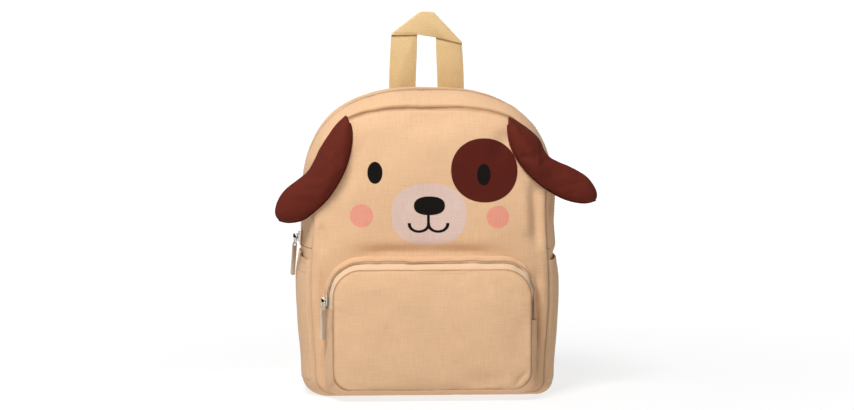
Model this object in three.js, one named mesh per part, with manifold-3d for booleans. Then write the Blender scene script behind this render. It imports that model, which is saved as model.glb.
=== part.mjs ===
// A child's animal backpack: a puppy-faced cloth bag with a zipped front pocket, two slip pockets,
// stuffed ears, a folded webbing handle and padded shoulder straps with ladder locks.
// Millimetres, +Z up. The face looks along -Y, and left and right are the viewer's.
// Depth runs back along +Y from the seam between the face panel and the gusset.
import * as THREE from "three";
import { mergeVertices } from "three/addons/utils/BufferGeometryUtils.js";
import Module from "manifold-3d";

const wasm = await Module();
wasm.setup();

// Cloth and seams
const CLOTH = 1.8;
const GAP = 0.3;

// Main bag: the widest outline, halfway through the gusset
const BAG_WIDTH = 263;
const BAG_HEIGHT = 304;
const BAG_DEPTH = 96;
const SHOULDER_WIDTH = 252;
const SHOULDER_HEIGHT = 194;
const SHOULDER_ROUNDNESS = 2.5;
const BASE_WIDTH = 252;
const BASE_CORNER_LEFT = 26;
const BASE_CORNER_RIGHT = 15;

// Front seam, where the gusset turns in to the face panel
const FRONT_SEAM_INSET_TOP = 17.5;
const FRONT_SEAM_INSET_SIDE = 14;
const FRONT_SEAM_INSET_SHOULDER = 11.5;
const FRONT_SEAM_INSET_BASE = 13;
const FRONT_SEAM_LIFT = 3.5;
const FRONT_SEAM_ROUNDNESS = 3.2;
const FRONT_ROLL = 44;
const FLOOR_ROLL_SHARE = 0.25;
const ROLL_SHARPNESS = 3;

// Back seam, where the gusset turns in to the back panel
const BACK_SEAM_INSET = 7;
const BACK_SEAM_LIFT = 3;
const BACK_ROLL = 34;

// Face and back panels
const FACE_BULGE = 14;
const PANEL_CENTRE_HEIGHT = 140;
const BACK_PAD = 8;
const BACK_CROWN = 5;

// Main zip, over the top from one side to the other
const ZIP_DEPTH = 25;
const ZIP_WIDTH = 7;
const ZIP_COIL = 2.6;
const ZIP_RECESS = 0.8;
const ZIP_END_HEIGHT = 148;

// Slip pockets on the gusset's sides
const SLIP_CLOTH = 1.6;
const SLIP_ROOM = 7;
const SLIP_HEM_BACK = 138.5;
const SLIP_HEM_FRONT = 134;
const SLIP_MARGIN = 2.5;
const SLIP_FILLS_BY = 0.3;
const SLIP_CLOSES_FROM = 0.93;

// Front pocket
const POCKET_WIDTH = 208;
const POCKET_TOP = 140;
const POCKET_FLOOR = 4;
const POCKET_CORNER_TOP = 36;
const POCKET_CORNER_BASE = 16;
const POCKET_FACE_WIDTH = 194;
const POCKET_FACE_TOP = 129;
const POCKET_FACE_FLOOR = 11.5;
const POCKET_FACE_CORNER_TOP = 27;
const POCKET_FACE_CORNER_BASE = 17;
const POCKET_DEPTH = 25;
const POCKET_BULGE = 7;
const POCKET_FLARE = 1.5;
const POCKET_ROOT = 9;
const POCKET_STRIP = 8;
const POCKET_COIL = 2.6;
const POCKET_TAPE_RECESS = 0.6;
const COIL_RISE = 1;
const POCKET_ZIP_LEFT_END = 91;
const POCKET_ZIP_RIGHT_END = 78;
const ZIP_RUN_AHEAD = 6;

// Zip sliders and pulls
const SLIDER_LENGTH = 10;
const SLIDER_WIDTH = 7.6;
const SLIDER_TIP = 4.8;
const SLIDER_PLATE = 1.6;
const SLIDER_SET = 2;
const BRIDGE_WIDTH = 2;
const BRIDGE_WALL = 1.1;
const RING_DIAMETER = 9.6;
const RING_WIRE = 1.5;
const RING_TWIST = Math.PI / 9;
const PULL_LENGTH = 31;
const PULL_PLUMB = 0.25;
const PULL_WIDTH = 4.2;
const PULL_TIP_WIDTH = 4.8;
const PULL_THICKNESS = 1.8;
const PULL_EYE = 2.8;
const PULL_WALL = 1;

// Ears, stuffed and sewn into the front seam
const EAR_LENGTH = 122;
const EAR_THICKNESS = 17;
const EAR_FULLNESS = 0.6;
const EAR_SECTIONS = 16;
const EAR_COLUMNS = 8;

// Grab handle of flat webbing, folded to a point
const WEBBING_WIDTH = 26.5;
const WEBBING = 2;
const HANDLE_HEIGHT = 75;
const HANDLE_GAP_BASE = 22.5;
const HANDLE_GAP_TOP = 19;
const HANDLE_CENTRE = 2.5;
const HANDLE_SLANT = 9;
const HANDLE_TIP_WIDTH = 11;
const HANDLE_FOLD = 23.2;
const HANDLE_SWAY = 0.8;
const HANDLE_SINK = 0.2;

// Shoulder straps
const STRAP_WIDTH = 48;
const STRAP_END_WIDTH = 27;
const STRAP_PAD = 9;
const STRAP_TOP_HEIGHT = 284;
const STRAP_TOP_SPREAD = 38;
const STRAP_END_HEIGHT = 108;
const STRAP_END_SPREAD = 74;
const STRAP_END_REACH = 30;
const STRAP_BOW = 52;
const STRAP_LAP = 22;
const STRAP_SEAT = 3;
const STRAP_EDGE = 0.8;
const STRAP_SECTIONS = 20;
const STRAP_WEBBING_WIDTH = 20;
const STRAP_TAIL = 52;
const LOOP_LAP = 12;
const LOCK_WIDTH = 27;
const LOCK_THICKNESS = 3;
const LOCK_BAR = 3.2;
const LOCK_SLOT = 7;
const LOCK_SLOT_WIDTH = 21.4;
const TAB_HEIGHT = 24;
const TAB_SPREAD = 92;
const TAB_WIDTH = 30;
const TAB_DROP = 10;
const TAB_RISE = 14;
const TAB_CLOTH = 2;

// Facets
const AROUND_BAG = 52;
const AROUND_POCKET = 44;
const PANEL_RINGS = [0, 0.6, 0.86, 0.965, 1];
const FRONT_STEPS = [0, 0.17, 0.45, 1];
const REAR_STEPS = [0.45, 0.78, 1];
const REAR_FLAT_SHARE = 0.75;
const SIDE_SPANS = 7;
const CORNER_SPANS = 4;
const STRAP_COLUMNS = [-1, -0.86, -0.45, 0.45, 0.86, 1];
const DOME_SQUARENESS = 4;

const { clamp, lerp, smoothstep } = THREE.MathUtils;

const CLOTH_SAND = new THREE.MeshStandardMaterial({ color: "#dab085", roughness: 0.9 });
const CLOTH_BROWN = new THREE.MeshStandardMaterial({ color: "#5e2a21", roughness: 0.9 });
const WEBBING_STRAW = new THREE.MeshStandardMaterial({ color: "#e4c591", roughness: 0.85 });
const TAPE_CREAM = new THREE.MeshStandardMaterial({ color: "#ebca9f", roughness: 0.85 });
const COIL_GREY = new THREE.MeshStandardMaterial({ color: "#b39a7c", roughness: 0.5 });
const NICKEL = new THREE.MeshStandardMaterial({ color: "#c9c5bd", roughness: 0.3, metalness: 1 });
const LOCK_PLASTIC = new THREE.MeshStandardMaterial({ color: "#d6b88a", roughness: 0.5 });

const bag = new THREE.Group();

function addPiece(name, geometry, material) {
  geometry.computeVertexNormals();
  const mesh = new THREE.Mesh(geometry, material.clone());
  mesh.name = name;
  bag.add(mesh);
  return mesh;
}

// Closed bodies from grids of points

function bodyFromTriangles(corners) {
  const loose = new THREE.BufferGeometry().setFromPoints(corners);
  const merged = mergeVertices(loose, 1e-4);
  const spots = merged.index.array;
  const kept = [];
  for (let k = 0; k < spots.length; k += 3) {
    const [a, b, c] = [spots[k], spots[k + 1], spots[k + 2]];
    if (a !== b && b !== c && c !== a) kept.push(a, b, c);
  }
  merged.setIndex(kept);
  return signedVolume(merged) < 0 ? turnedOut(merged) : merged;
}

function signedVolume(geometry) {
  const place = geometry.attributes.position;
  const spots = geometry.index.array;
  const [a, b, c] = [new THREE.Vector3(), new THREE.Vector3(), new THREE.Vector3()];
  let total = 0;
  for (let k = 0; k < spots.length; k += 3) {
    a.fromBufferAttribute(place, spots[k]);
    b.fromBufferAttribute(place, spots[k + 1]);
    c.fromBufferAttribute(place, spots[k + 2]);
    total += a.dot(b.cross(c));
  }
  return total;
}

function turnedOut(geometry) {
  geometry.setIndex(Array.from(geometry.index.array).reverse());
  return geometry;
}

function addQuad(corners, a, b, c, d) {
  corners.push(a, b, c, a, c, d);
}

// The two grids are the two faces of one wall, stitched along their borders. Where the grids share
// border points or shrink to one point, the stitching vanishes and the wall ends in an edge or a pole.
function wallBetween(outer, inner, wraps = false) {
  const corners = [];
  const rows = outer.length;
  const columns = outer[0].length;
  const spans = wraps ? columns : columns - 1;
  const at = (grid, i, j) => grid[i][j % columns];
  for (let i = 0; i < rows - 1; i++) {
    for (let j = 0; j < spans; j++) {
      addQuad(corners, at(outer, i, j), at(outer, i, j + 1), at(outer, i + 1, j + 1), at(outer, i + 1, j));
      addQuad(corners, at(inner, i, j), at(inner, i + 1, j), at(inner, i + 1, j + 1), at(inner, i, j + 1));
    }
  }
  for (let j = 0; j < spans; j++) {
    const end = rows - 1;
    addQuad(corners, at(outer, 0, j + 1), at(outer, 0, j), at(inner, 0, j), at(inner, 0, j + 1));
    addQuad(corners, at(outer, end, j), at(outer, end, j + 1), at(inner, end, j + 1), at(inner, end, j));
  }
  if (!wraps) {
    for (let i = 0; i < rows - 1; i++) {
      const side = columns - 1;
      addQuad(corners, at(outer, i, 0), at(outer, i + 1, 0), at(inner, i + 1, 0), at(inner, i, 0));
      addQuad(corners, at(inner, i + 1, side), at(outer, i + 1, side), at(outer, i, side), at(inner, i, side));
    }
  }
  return bodyFromTriangles(corners);
}

// One closed surface from rings, the first and last of which are poles
function closedRings(rings) {
  const corners = [];
  for (let i = 0; i < rings.length - 1; i++) {
    const columns = rings[i].length;
    for (let j = 0; j < columns; j++) {
      const k = (j + 1) % columns;
      addQuad(corners, rings[i][j], rings[i][k], rings[i + 1][k], rings[i + 1][j]);
    }
  }
  return bodyFromTriangles(corners);
}

function spread(count, from = 0, to = 1) {
  return Array.from({ length: count + 1 }, (_, k) => lerp(from, to, k / count));
}

// Joins and cuts

function asSolid(geometry) {
  const bare = new THREE.BufferGeometry();
  bare.setAttribute("position", geometry.attributes.position.clone());
  if (geometry.index) bare.setIndex(geometry.index);
  const merged = mergeVertices(bare, 1e-4);
  const vertProperties = new Float32Array(merged.attributes.position.array);
  const triVerts = new Uint32Array(merged.index.array);
  return new wasm.Manifold(new wasm.Mesh({ numProp: 3, vertProperties, triVerts }));
}

function asGeometry(solid) {
  const mesh = solid.getMesh();
  const geometry = new THREE.BufferGeometry();
  geometry.setAttribute("position", new THREE.BufferAttribute(mesh.vertProperties, 3));
  geometry.setIndex(new THREE.BufferAttribute(mesh.triVerts, 1));
  return geometry;
}

function cut(geometry, ...tools) {
  return asGeometry(tools.reduce((left, tool) => left.subtract(asSolid(tool)), asSolid(geometry)));
}

function join(...parts) {
  return asGeometry(parts.map(asSolid).reduce((sum, part) => sum.add(part)));
}

// The bag's outline. u runs from -1 to 1: 0 is the middle of the base, +1 and -1 meet at the crown.

const BASE_SHARE = 0.22;
const CORNER_SHARE = 0.3;
const SIDE_SHARE = 0.62;

const MIDDLE = {
  crown: BAG_HEIGHT,
  shoulder: SHOULDER_WIDTH / 2,
  spring: SHOULDER_HEIGHT,
  power: SHOULDER_ROUNDNESS,
  belly: BAG_WIDTH / 2,
  base: BASE_WIDTH / 2,
  floor: 0,
  cornerLeft: BASE_CORNER_LEFT,
  cornerRight: BASE_CORNER_RIGHT,
};
const FRONT_SEAM = {
  ...MIDDLE,
  crown: MIDDLE.crown - FRONT_SEAM_INSET_TOP,
  shoulder: MIDDLE.shoulder - FRONT_SEAM_INSET_SHOULDER,
  spring: MIDDLE.spring - FRONT_SEAM_LIFT,
  power: FRONT_SEAM_ROUNDNESS,
  belly: MIDDLE.belly - FRONT_SEAM_INSET_SIDE,
  base: MIDDLE.base - FRONT_SEAM_INSET_BASE,
  floor: FRONT_SEAM_LIFT,
};
const BACK_SEAM = {
  ...MIDDLE,
  crown: MIDDLE.crown - BACK_SEAM_INSET,
  shoulder: MIDDLE.shoulder - BACK_SEAM_INSET,
  belly: MIDDLE.belly - BACK_SEAM_INSET,
  base: MIDDLE.base - BACK_SEAM_INSET,
  floor: BACK_SEAM_LIFT,
};

function mixed(a, b, share) {
  return Object.fromEntries(Object.keys(a).map((key) => [key, lerp(a[key], b[key], share)]));
}

function drawnIn(outline, inward) {
  return {
    ...outline,
    crown: outline.crown - inward,
    shoulder: outline.shoulder - inward,
    belly: outline.belly - inward,
    base: outline.base - inward,
    floor: outline.floor + inward,
  };
}

function outlinePoint(outline, u) {
  const side = Math.sign(u) || 1;
  const along = Math.abs(u);
  const corner = side < 0 ? outline.cornerLeft : outline.cornerRight;
  if (along <= BASE_SHARE) {
    return new THREE.Vector2((side * (outline.base - corner) * along) / BASE_SHARE, outline.floor);
  }
  if (along <= CORNER_SHARE) {
    const turn = (((along - BASE_SHARE) / (CORNER_SHARE - BASE_SHARE)) * Math.PI) / 2;
    const across = outline.base - corner + corner * Math.sin(turn);
    return new THREE.Vector2(side * across, outline.floor + corner * (1 - Math.cos(turn)));
  }
  if (along <= SIDE_SHARE) {
    const rise = (along - CORNER_SHARE) / (SIDE_SHARE - CORNER_SHARE);
    const straight = lerp(outline.base, outline.shoulder, rise);
    const swell = outline.belly - (outline.base + outline.shoulder) / 2;
    const across = straight + swell * Math.sin(Math.PI * rise) ** 2;
    return new THREE.Vector2(side * across, lerp(outline.floor + corner, outline.spring, rise));
  }
  const turn = (((along - SIDE_SHARE) / (1 - SIDE_SHARE)) * Math.PI) / 2;
  const across = outline.shoulder * Math.max(0, Math.cos(turn)) ** (2 / outline.power);
  const rise = (outline.crown - outline.spring) * Math.sin(turn) ** (2 / outline.power);
  return new THREE.Vector2(side * across, outline.spring + rise);
}

function sideShareAt(height) {
  const foot = MIDDLE.floor + MIDDLE.cornerRight;
  return lerp(CORNER_SHARE, SIDE_SHARE, (height - foot) / (MIDDLE.spring - foot));
}

const MM_OF_SIDE = (SIDE_SHARE - CORNER_SHARE) / (MIDDLE.spring - MIDDLE.cornerRight);

// 1 at a seam, falling smoothly to 0 where its roll ends
function rolled(fromSeam, roll) {
  return clamp(1 - fromSeam / roll, 0, 1) ** ROLL_SHARPNESS;
}

// The floor's roll is shorter than the sides', so that the bag has a level base to stand on
function gussetOutline(depth, inward = 0) {
  const toBack = BAG_DEPTH - depth;
  const front = rolled(depth, FRONT_ROLL);
  const back = rolled(toBack, BACK_ROLL);
  const outline = mixed(mixed(MIDDLE, FRONT_SEAM, front), BACK_SEAM, back);
  const frontLift = FRONT_SEAM.floor * rolled(depth, FRONT_ROLL * FLOOR_ROLL_SHARE);
  const backLift = BACK_SEAM.floor * rolled(toBack, BACK_ROLL * FLOOR_ROLL_SHARE);
  outline.floor = frontLift + backLift;
  return drawnIn(outline, inward);
}

function gussetPoint(depth, u, inward = 0) {
  const spot = outlinePoint(gussetOutline(depth, inward), u);
  return new THREE.Vector3(spot.x, depth, spot.y);
}

function gussetStrip(depths, stations, outside, inside) {
  const row = (depth, inward) => stations.map((u) => gussetPoint(depth, u, inward(depth, u)));
  const grid = (inward) => depths.map((depth) => row(depth, inward));
  return wallBetween(grid(outside), grid(inside));
}

const AROUND = spread(AROUND_BAG, -1, 1).slice(0, AROUND_BAG);

function domeRing(outline, share, reach, depth) {
  const height = reach * Math.sqrt(1 - share ** DOME_SQUARENESS);
  return AROUND.map((u) => {
    const rim = outlinePoint(outline, u);
    return new THREE.Vector3(rim.x * share, depth + height, lerp(PANEL_CENTRE_HEIGHT, rim.y, share));
  });
}

// Main bag

function dome(outline, reach, depth) {
  return PANEL_RINGS.map((share) => domeRing(outline, share, reach, depth));
}

function facePanel() {
  const outer = dome(FRONT_SEAM, -FACE_BULGE, 0);
  const inner = dome(drawnIn(FRONT_SEAM, CLOTH), CLOTH - FACE_BULGE, 0);
  return wallBetween(outer, inner, true);
}

const BACK_RIM = BAG_DEPTH + BACK_PAD - BACK_CROWN;

function backPanel() {
  return wallBetween(dome(BACK_SEAM, BACK_CROWN, BACK_RIM), dome(BACK_SEAM, 0, BAG_DEPTH), true);
}

// The whole bag with a clearance round it, which cuts what rests against it
function bagEnvelope() {
  const front = dome(drawnIn(FRONT_SEAM, -GAP), -FACE_BULGE, -GAP);
  const sides = GUSSET_DEPTHS.map((depth) => AROUND.map((u) => gussetPoint(depth, u, -GAP)));
  const back = dome(drawnIn(BACK_SEAM, -GAP), BACK_CROWN, BACK_RIM + GAP);
  return closedRings([...front, ...sides, ...back.reverse()]);
}

const ZIP_FRONT_EDGE = ZIP_DEPTH - ZIP_WIDTH / 2 - GAP;
const ZIP_BACK_EDGE = ZIP_DEPTH + ZIP_WIDTH / 2 + GAP;
const REAR_FLAT = BAG_DEPTH - BACK_ROLL * REAR_FLAT_SHARE;
const FRONT_DEPTHS = FRONT_STEPS.map((share) => lerp(GAP, ZIP_FRONT_EDGE, share));
const REAR_DEPTHS = [
  ...spread(2, ZIP_BACK_EDGE, REAR_FLAT),
  ...REAR_STEPS.map((share) => lerp(REAR_FLAT, BAG_DEPTH - GAP, share)),
];
const GUSSET_DEPTHS = [...FRONT_DEPTHS, ...REAR_DEPTHS];
const ZIP_END = sideShareAt(ZIP_END_HEIGHT);
const ARCH_SPANS = 28;
const BASE_STATIONS = [
  ...spread(SIDE_SPANS, ZIP_END - GAP * MM_OF_SIDE, CORNER_SHARE).slice(0, SIDE_SPANS),
  ...spread(CORNER_SPANS, CORNER_SHARE, BASE_SHARE),
];

function overTheTop() {
  const right = spread(ARCH_SPANS / 2, ZIP_END, 1);
  const left = right.map((u) => -u).reverse();
  return [...right, ...left.slice(1)];
}

function archStrip(depths) {
  return gussetStrip(depths, overTheTop(), () => 0, () => CLOTH);
}

function mainZipper() {
  const edge = ZIP_WIDTH / 2;
  const coil = ZIP_COIL / 2;
  const profile = [
    { from: -edge, inward: ZIP_RECESS },
    { from: -coil, inward: ZIP_RECESS },
    { from: -coil / 2, inward: ZIP_RECESS - coil },
    { from: coil / 2, inward: ZIP_RECESS - coil },
    { from: coil, inward: ZIP_RECESS },
    { from: edge, inward: ZIP_RECESS },
  ];
  const along = (row, inward) => overTheTop().map((u) => gussetPoint(ZIP_DEPTH + row.from, u, inward));
  const outside = profile.map((row) => along(row, row.inward));
  const inside = profile.map((row) => along(row, ZIP_RECESS + CLOTH));
  return wallBetween(outside, inside);
}

// How far the gusset gives way behind a slip pocket: most in the middle of the pocket's mouth
function slipHollow(depth, u) {
  const height = (Math.abs(u) - CORNER_SHARE) / (ZIP_END - CORNER_SHARE);
  const up = smoothstep(height, 0, SLIP_FILLS_BY) * (1 - smoothstep(height, SLIP_CLOSES_FROM, 1));
  const through = Math.sin(Math.PI * clamp(depth / BAG_DEPTH, 0, 1));
  return SLIP_ROOM * up * Math.sqrt(through);
}

function baseGusset() {
  const stations = [...BASE_STATIONS, ...BASE_STATIONS.map((u) => -u).reverse()];
  return gussetStrip(GUSSET_DEPTHS, stations, slipHollow, (depth, u) => slipHollow(depth, u) + CLOTH);
}

function slipPocket(side) {
  const depths = [SLIP_MARGIN, ...GUSSET_DEPTHS.slice(1, -1), BAG_DEPTH - SLIP_MARGIN];
  const hemHeight = (depth) => lerp(SLIP_HEM_FRONT, SLIP_HEM_BACK, clamp((2 * depth) / BAG_DEPTH, 0, 1));
  const stations = (depth) => spread(SIDE_SPANS + 1, CORNER_SHARE, sideShareAt(hemHeight(depth)));
  const row = (depth, outward) => stations(depth).map((u) => gussetPoint(depth, side * u, -outward));
  const grid = (outward) => depths.map((depth) => row(depth, outward));
  return wallBetween(grid(GAP + SLIP_CLOTH), grid(GAP));
}

addPiece("front_panel", facePanel(), CLOTH_SAND);
addPiece("zip_gusset_front", archStrip(FRONT_DEPTHS), CLOTH_SAND);
addPiece("zip_gusset_back", archStrip(REAR_DEPTHS), CLOTH_SAND);
addPiece("main_zipper", mainZipper(), COIL_GREY);
addPiece("base_gusset", baseGusset(), CLOTH_SAND);
addPiece("back_panel", backPanel(), CLOTH_SAND);
addPiece("side_pocket_left", slipPocket(-1), CLOTH_SAND);
addPiece("side_pocket_right", slipPocket(1), CLOTH_SAND);

// Front pocket. Its outline is a rounded box: u is 0 in the middle of its floor and 1 at the top.

const POCKET_SHARES = { floor: 0.24, lower: 0.34, side: 0.56, upper: 0.74 };
const POCKET_MOUTH = {
  half: POCKET_WIDTH / 2,
  top: POCKET_TOP,
  floor: POCKET_FLOOR,
  cornerTop: POCKET_CORNER_TOP,
  cornerBase: POCKET_CORNER_BASE,
};
const POCKET_SEAM = {
  half: POCKET_FACE_WIDTH / 2,
  top: POCKET_FACE_TOP,
  floor: POCKET_FACE_FLOOR,
  cornerTop: POCKET_FACE_CORNER_TOP,
  cornerBase: POCKET_FACE_CORNER_BASE,
};
const POCKET_SEAM_Y = -FACE_BULGE - POCKET_DEPTH;
const POCKET_CENTRE_HEIGHT = (POCKET_FACE_TOP + POCKET_FACE_FLOOR) / 2;

function pocketOutlinePoint(box, u) {
  const side = Math.sign(u) || 1;
  const along = Math.abs(u);
  const { floor, lower, side: upright, upper } = POCKET_SHARES;
  const point = (x, z) => new THREE.Vector2(side * x, z);
  if (along <= floor) return point(((box.half - box.cornerBase) * along) / floor, box.floor);
  if (along <= lower) {
    const turn = (((along - floor) / (lower - floor)) * Math.PI) / 2;
    const across = box.half - box.cornerBase * (1 - Math.sin(turn));
    return point(across, box.floor + box.cornerBase * (1 - Math.cos(turn)));
  }
  if (along <= upright) {
    const rise = (along - lower) / (upright - lower);
    return point(box.half, lerp(box.floor + box.cornerBase, box.top - box.cornerTop, rise));
  }
  if (along <= upper) {
    const turn = (((along - upright) / (upper - upright)) * Math.PI) / 2;
    const across = box.half - box.cornerTop * (1 - Math.cos(turn));
    return point(across, box.top - box.cornerTop * (1 - Math.sin(turn)));
  }
  return point((box.half - box.cornerTop) * (1 - (along - upper) / (1 - upper)), box.top);
}

function pocketShareAt(height) {
  const low = POCKET_MOUTH.floor + POCKET_MOUTH.cornerBase;
  const high = POCKET_MOUTH.top - POCKET_MOUTH.cornerTop;
  return lerp(POCKET_SHARES.lower, POCKET_SHARES.side, (height - low) / (high - low));
}

// back is 1 at the face panel and 0 at the seam of the pocket's own panel
function pocketPoint(y, u, inward = 0) {
  const back = clamp((y - POCKET_SEAM_Y) / POCKET_DEPTH, 0, 1);
  const box = mixed(POCKET_SEAM, POCKET_MOUTH, back ** POCKET_FLARE);
  box.half -= inward;
  box.top -= inward;
  box.floor += inward;
  const spot = pocketOutlinePoint(box, u);
  return new THREE.Vector3(spot.x, y, spot.y);
}

function pocketWall(profile, stations) {
  const grid = (extra) =>
    profile.map(({ y, inward }) => stations.map((u) => pocketPoint(y, u, inward + extra)));
  return wallBetween(grid(0), grid(CLOTH));
}

function level(depths, inward = 0) {
  return depths.map((y) => ({ y, inward }));
}

const POCKET_ROOT_Y = POCKET_ROOT - FACE_BULGE;
const POCKET_STRIP_Y = -FACE_BULGE - POCKET_STRIP;
const POCKET_COIL_Y = POCKET_STRIP_Y - GAP - POCKET_COIL;
const POCKET_ZIP_FROM = pocketShareAt(POCKET_ZIP_RIGHT_END);
const POCKET_ZIP_TO = -pocketShareAt(POCKET_ZIP_LEFT_END);
const POCKET_END_GAP = pocketShareAt(POCKET_ZIP_LEFT_END) - pocketShareAt(POCKET_ZIP_LEFT_END - GAP);

function overThePocket() {
  const right = spread(ARCH_SPANS / 2, POCKET_ZIP_FROM, 1);
  const left = spread(ARCH_SPANS / 2, -1, POCKET_ZIP_TO);
  return [...right, ...left.slice(1)];
}

function underThePocket() {
  const right = spread(CORNER_SPANS, POCKET_ZIP_FROM - POCKET_END_GAP, POCKET_SHARES.lower);
  const left = spread(CORNER_SPANS, -POCKET_SHARES.lower, POCKET_ZIP_TO + POCKET_END_GAP);
  const corner = spread(CORNER_SPANS, POCKET_SHARES.lower, POCKET_SHARES.floor).slice(1);
  return [...right, ...corner, ...corner.map((u) => -u).reverse(), ...left];
}

const AROUND_THE_POCKET = spread(AROUND_POCKET, -1, 1).slice(0, AROUND_POCKET);

function pocketRing(share, inward) {
  const height = (POCKET_BULGE - inward) * Math.sqrt(1 - share ** DOME_SQUARENESS);
  return AROUND_THE_POCKET.map((u) => {
    const rim = pocketPoint(POCKET_SEAM_Y, u, inward);
    const z = lerp(POCKET_CENTRE_HEIGHT, rim.z, share);
    return new THREE.Vector3(rim.x * share, POCKET_SEAM_Y - GAP - height, z);
  });
}

function pocketPanel() {
  const outer = PANEL_RINGS.map((share) => pocketRing(share, 0));
  const inner = PANEL_RINGS.map((share) => pocketRing(share, CLOTH));
  return wallBetween(outer, inner, true);
}

const envelope = bagEnvelope();

function pocketGusset() {
  const depths = [POCKET_ROOT_Y, -FACE_BULGE, -FACE_BULGE - POCKET_DEPTH / 2, POCKET_SEAM_Y];
  return cut(pocketWall(level(depths), underThePocket()), envelope);
}

function pocketStrip() {
  return cut(pocketWall(level([POCKET_ROOT_Y, -FACE_BULGE, POCKET_STRIP_Y]), overThePocket()), envelope);
}

function pocketCoil() {
  const back = POCKET_STRIP_Y - GAP;
  const raised = level([lerp(back, POCKET_COIL_Y, 1 / 3), lerp(back, POCKET_COIL_Y, 2 / 3)], -COIL_RISE);
  return pocketWall([...level([back]), ...raised, ...level([POCKET_COIL_Y])], overThePocket());
}

function pocketTape() {
  return pocketWall(level([POCKET_COIL_Y - GAP, POCKET_SEAM_Y], POCKET_TAPE_RECESS), overThePocket());
}

addPiece("pocket_panel", pocketPanel(), CLOTH_SAND);
addPiece("pocket_gusset", pocketGusset(), CLOTH_SAND);
addPiece("pocket_zip_strip", pocketStrip(), CLOTH_SAND);
addPiece("pocket_zipper_coil", pocketCoil(), COIL_GREY);
addPiece("pocket_zipper_tape", pocketTape(), TAPE_CREAM);

// Ears. The outer edge starts along the front seam and leaves it at the notch. Every column is a share
// of the ear's length, from the top of the seam: x away from the face, z down, y towards the viewer.

const EAR_LEFT = {
  side: -1,
  top: { x: 80, z: 277 },
  outer: [
    { x: 0.03, z: 0, y: 0.01 },
    { x: 0.145, z: 0.18, y: 0.03 },
    { x: 0.255, z: 0.335, y: 0.04 },
    { x: 0.42, z: 0.505, y: 0.05 },
    { x: 0.565, z: 0.645, y: 0.05 },
    { x: 0.597, z: 0.76, y: 0.05 },
    { x: 0.585, z: 0.82, y: 0.05 },
  ],
  inner: [
    { x: 0.0, z: 0.0, y: 0.01 },
    { x: -0.022, z: 0.165, y: 0.11 },
    { x: 0.025, z: 0.41, y: 0.13 },
    { x: 0.17, z: 0.66, y: 0.13 },
    { x: 0.31, z: 0.81, y: 0.1 },
    { x: 0.47, z: 0.855, y: 0.07 },
    { x: 0.57, z: 0.835, y: 0.05 },
  ],
};
const EAR_RIGHT = {
  side: 1,
  top: { x: 76, z: 275.5 },
  outer: [
    { x: 0.02, z: 0, y: 0.01 },
    { x: 0.195, z: 0.15, y: 0.02 },
    { x: 0.3, z: 0.275, y: 0.03 },
    { x: 0.49, z: 0.385, y: 0.05 },
    { x: 0.64, z: 0.475, y: 0.06 },
    { x: 0.715, z: 0.58, y: 0.05 },
    { x: 0.728, z: 0.65, y: 0.05 },
  ],
  inner: [
    { x: 0.0, z: 0.0, y: 0.01 },
    { x: 0.01, z: 0.19, y: 0.11 },
    { x: 0.1, z: 0.375, y: 0.12 },
    { x: 0.27, z: 0.545, y: 0.11 },
    { x: 0.46, z: 0.655, y: 0.08 },
    { x: 0.62, z: 0.685, y: 0.06 },
    { x: 0.71, z: 0.665, y: 0.05 },
  ],
};

function earEdge(ear, rows) {
  const points = rows.map(
    (row) =>
      new THREE.Vector3(
        ear.side * (ear.top.x + row.x * EAR_LENGTH),
        -row.y * EAR_LENGTH,
        ear.top.z - row.z * EAR_LENGTH
      )
  );
  return new THREE.CatmullRomCurve3(points).getSpacedPoints(EAR_SECTIONS);
}

function stuffedEar(ear) {
  const outer = earEdge(ear, ear.outer);
  const inner = earEdge(ear, ear.inner);
  const fullest = Math.max(...outer.map((p, i) => p.distanceTo(inner[i])));
  const face = (towards) =>
    outer.map((start, i) => {
      const end = inner[i];
      const loft = EAR_THICKNESS * Math.sqrt(start.distanceTo(end) / fullest);
      return spread(EAR_COLUMNS).map((share) => {
        const point = start.clone().lerp(end, share);
        const crown = (4 * share * (1 - share)) ** EAR_FULLNESS;
        point.y += (towards * loft * crown) / 2;
        return point;
      });
    });
  const front = face(-1);
  const back = face(1);
  for (const end of [0, EAR_SECTIONS]) {
    const middle = outer[end].clone().lerp(inner[end], 0.5);
    const tuck = spread(EAR_COLUMNS).map((share) => outer[end].clone().lerp(inner[end], share));
    front[end] = end ? tuck.map(() => middle) : tuck;
    back[end] = front[end];
  }
  return cut(wallBetween(front, back), envelope);
}

addPiece("ear_left", stuffedEar(EAR_LEFT), CLOTH_BROWN);
addPiece("ear_right", stuffedEar(EAR_RIGHT), CLOTH_BROWN);

// Flat plates drawn in the picture plane, and straps bent in the side plane

function plate(points, thickness, y, holes = []) {
  const shape = new THREE.Shape(points);
  shape.holes = holes.map((hole) => new THREE.Path(hole));
  const geometry = new THREE.ExtrudeGeometry(shape, { depth: thickness, bevelEnabled: false });
  geometry.rotateX(Math.PI / 2);
  geometry.translate(0, y + thickness, 0);
  return geometry;
}

// Grab handle: two legs out of the back seam, and the folded piece across them in front

// Height of the back seam's arch, straight above or below a place across the bag
function backSeamHeight(x) {
  const { spring, crown, shoulder, power } = BACK_SEAM;
  return spring + (crown - spring) * (1 - Math.abs(x / shoulder) ** power) ** (1 / power);
}

const HANDLE_TOP = MIDDLE.crown + HANDLE_HEIGHT;
const HANDLE_UNDERSIDE = HANDLE_TOP - HANDLE_FOLD;

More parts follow.
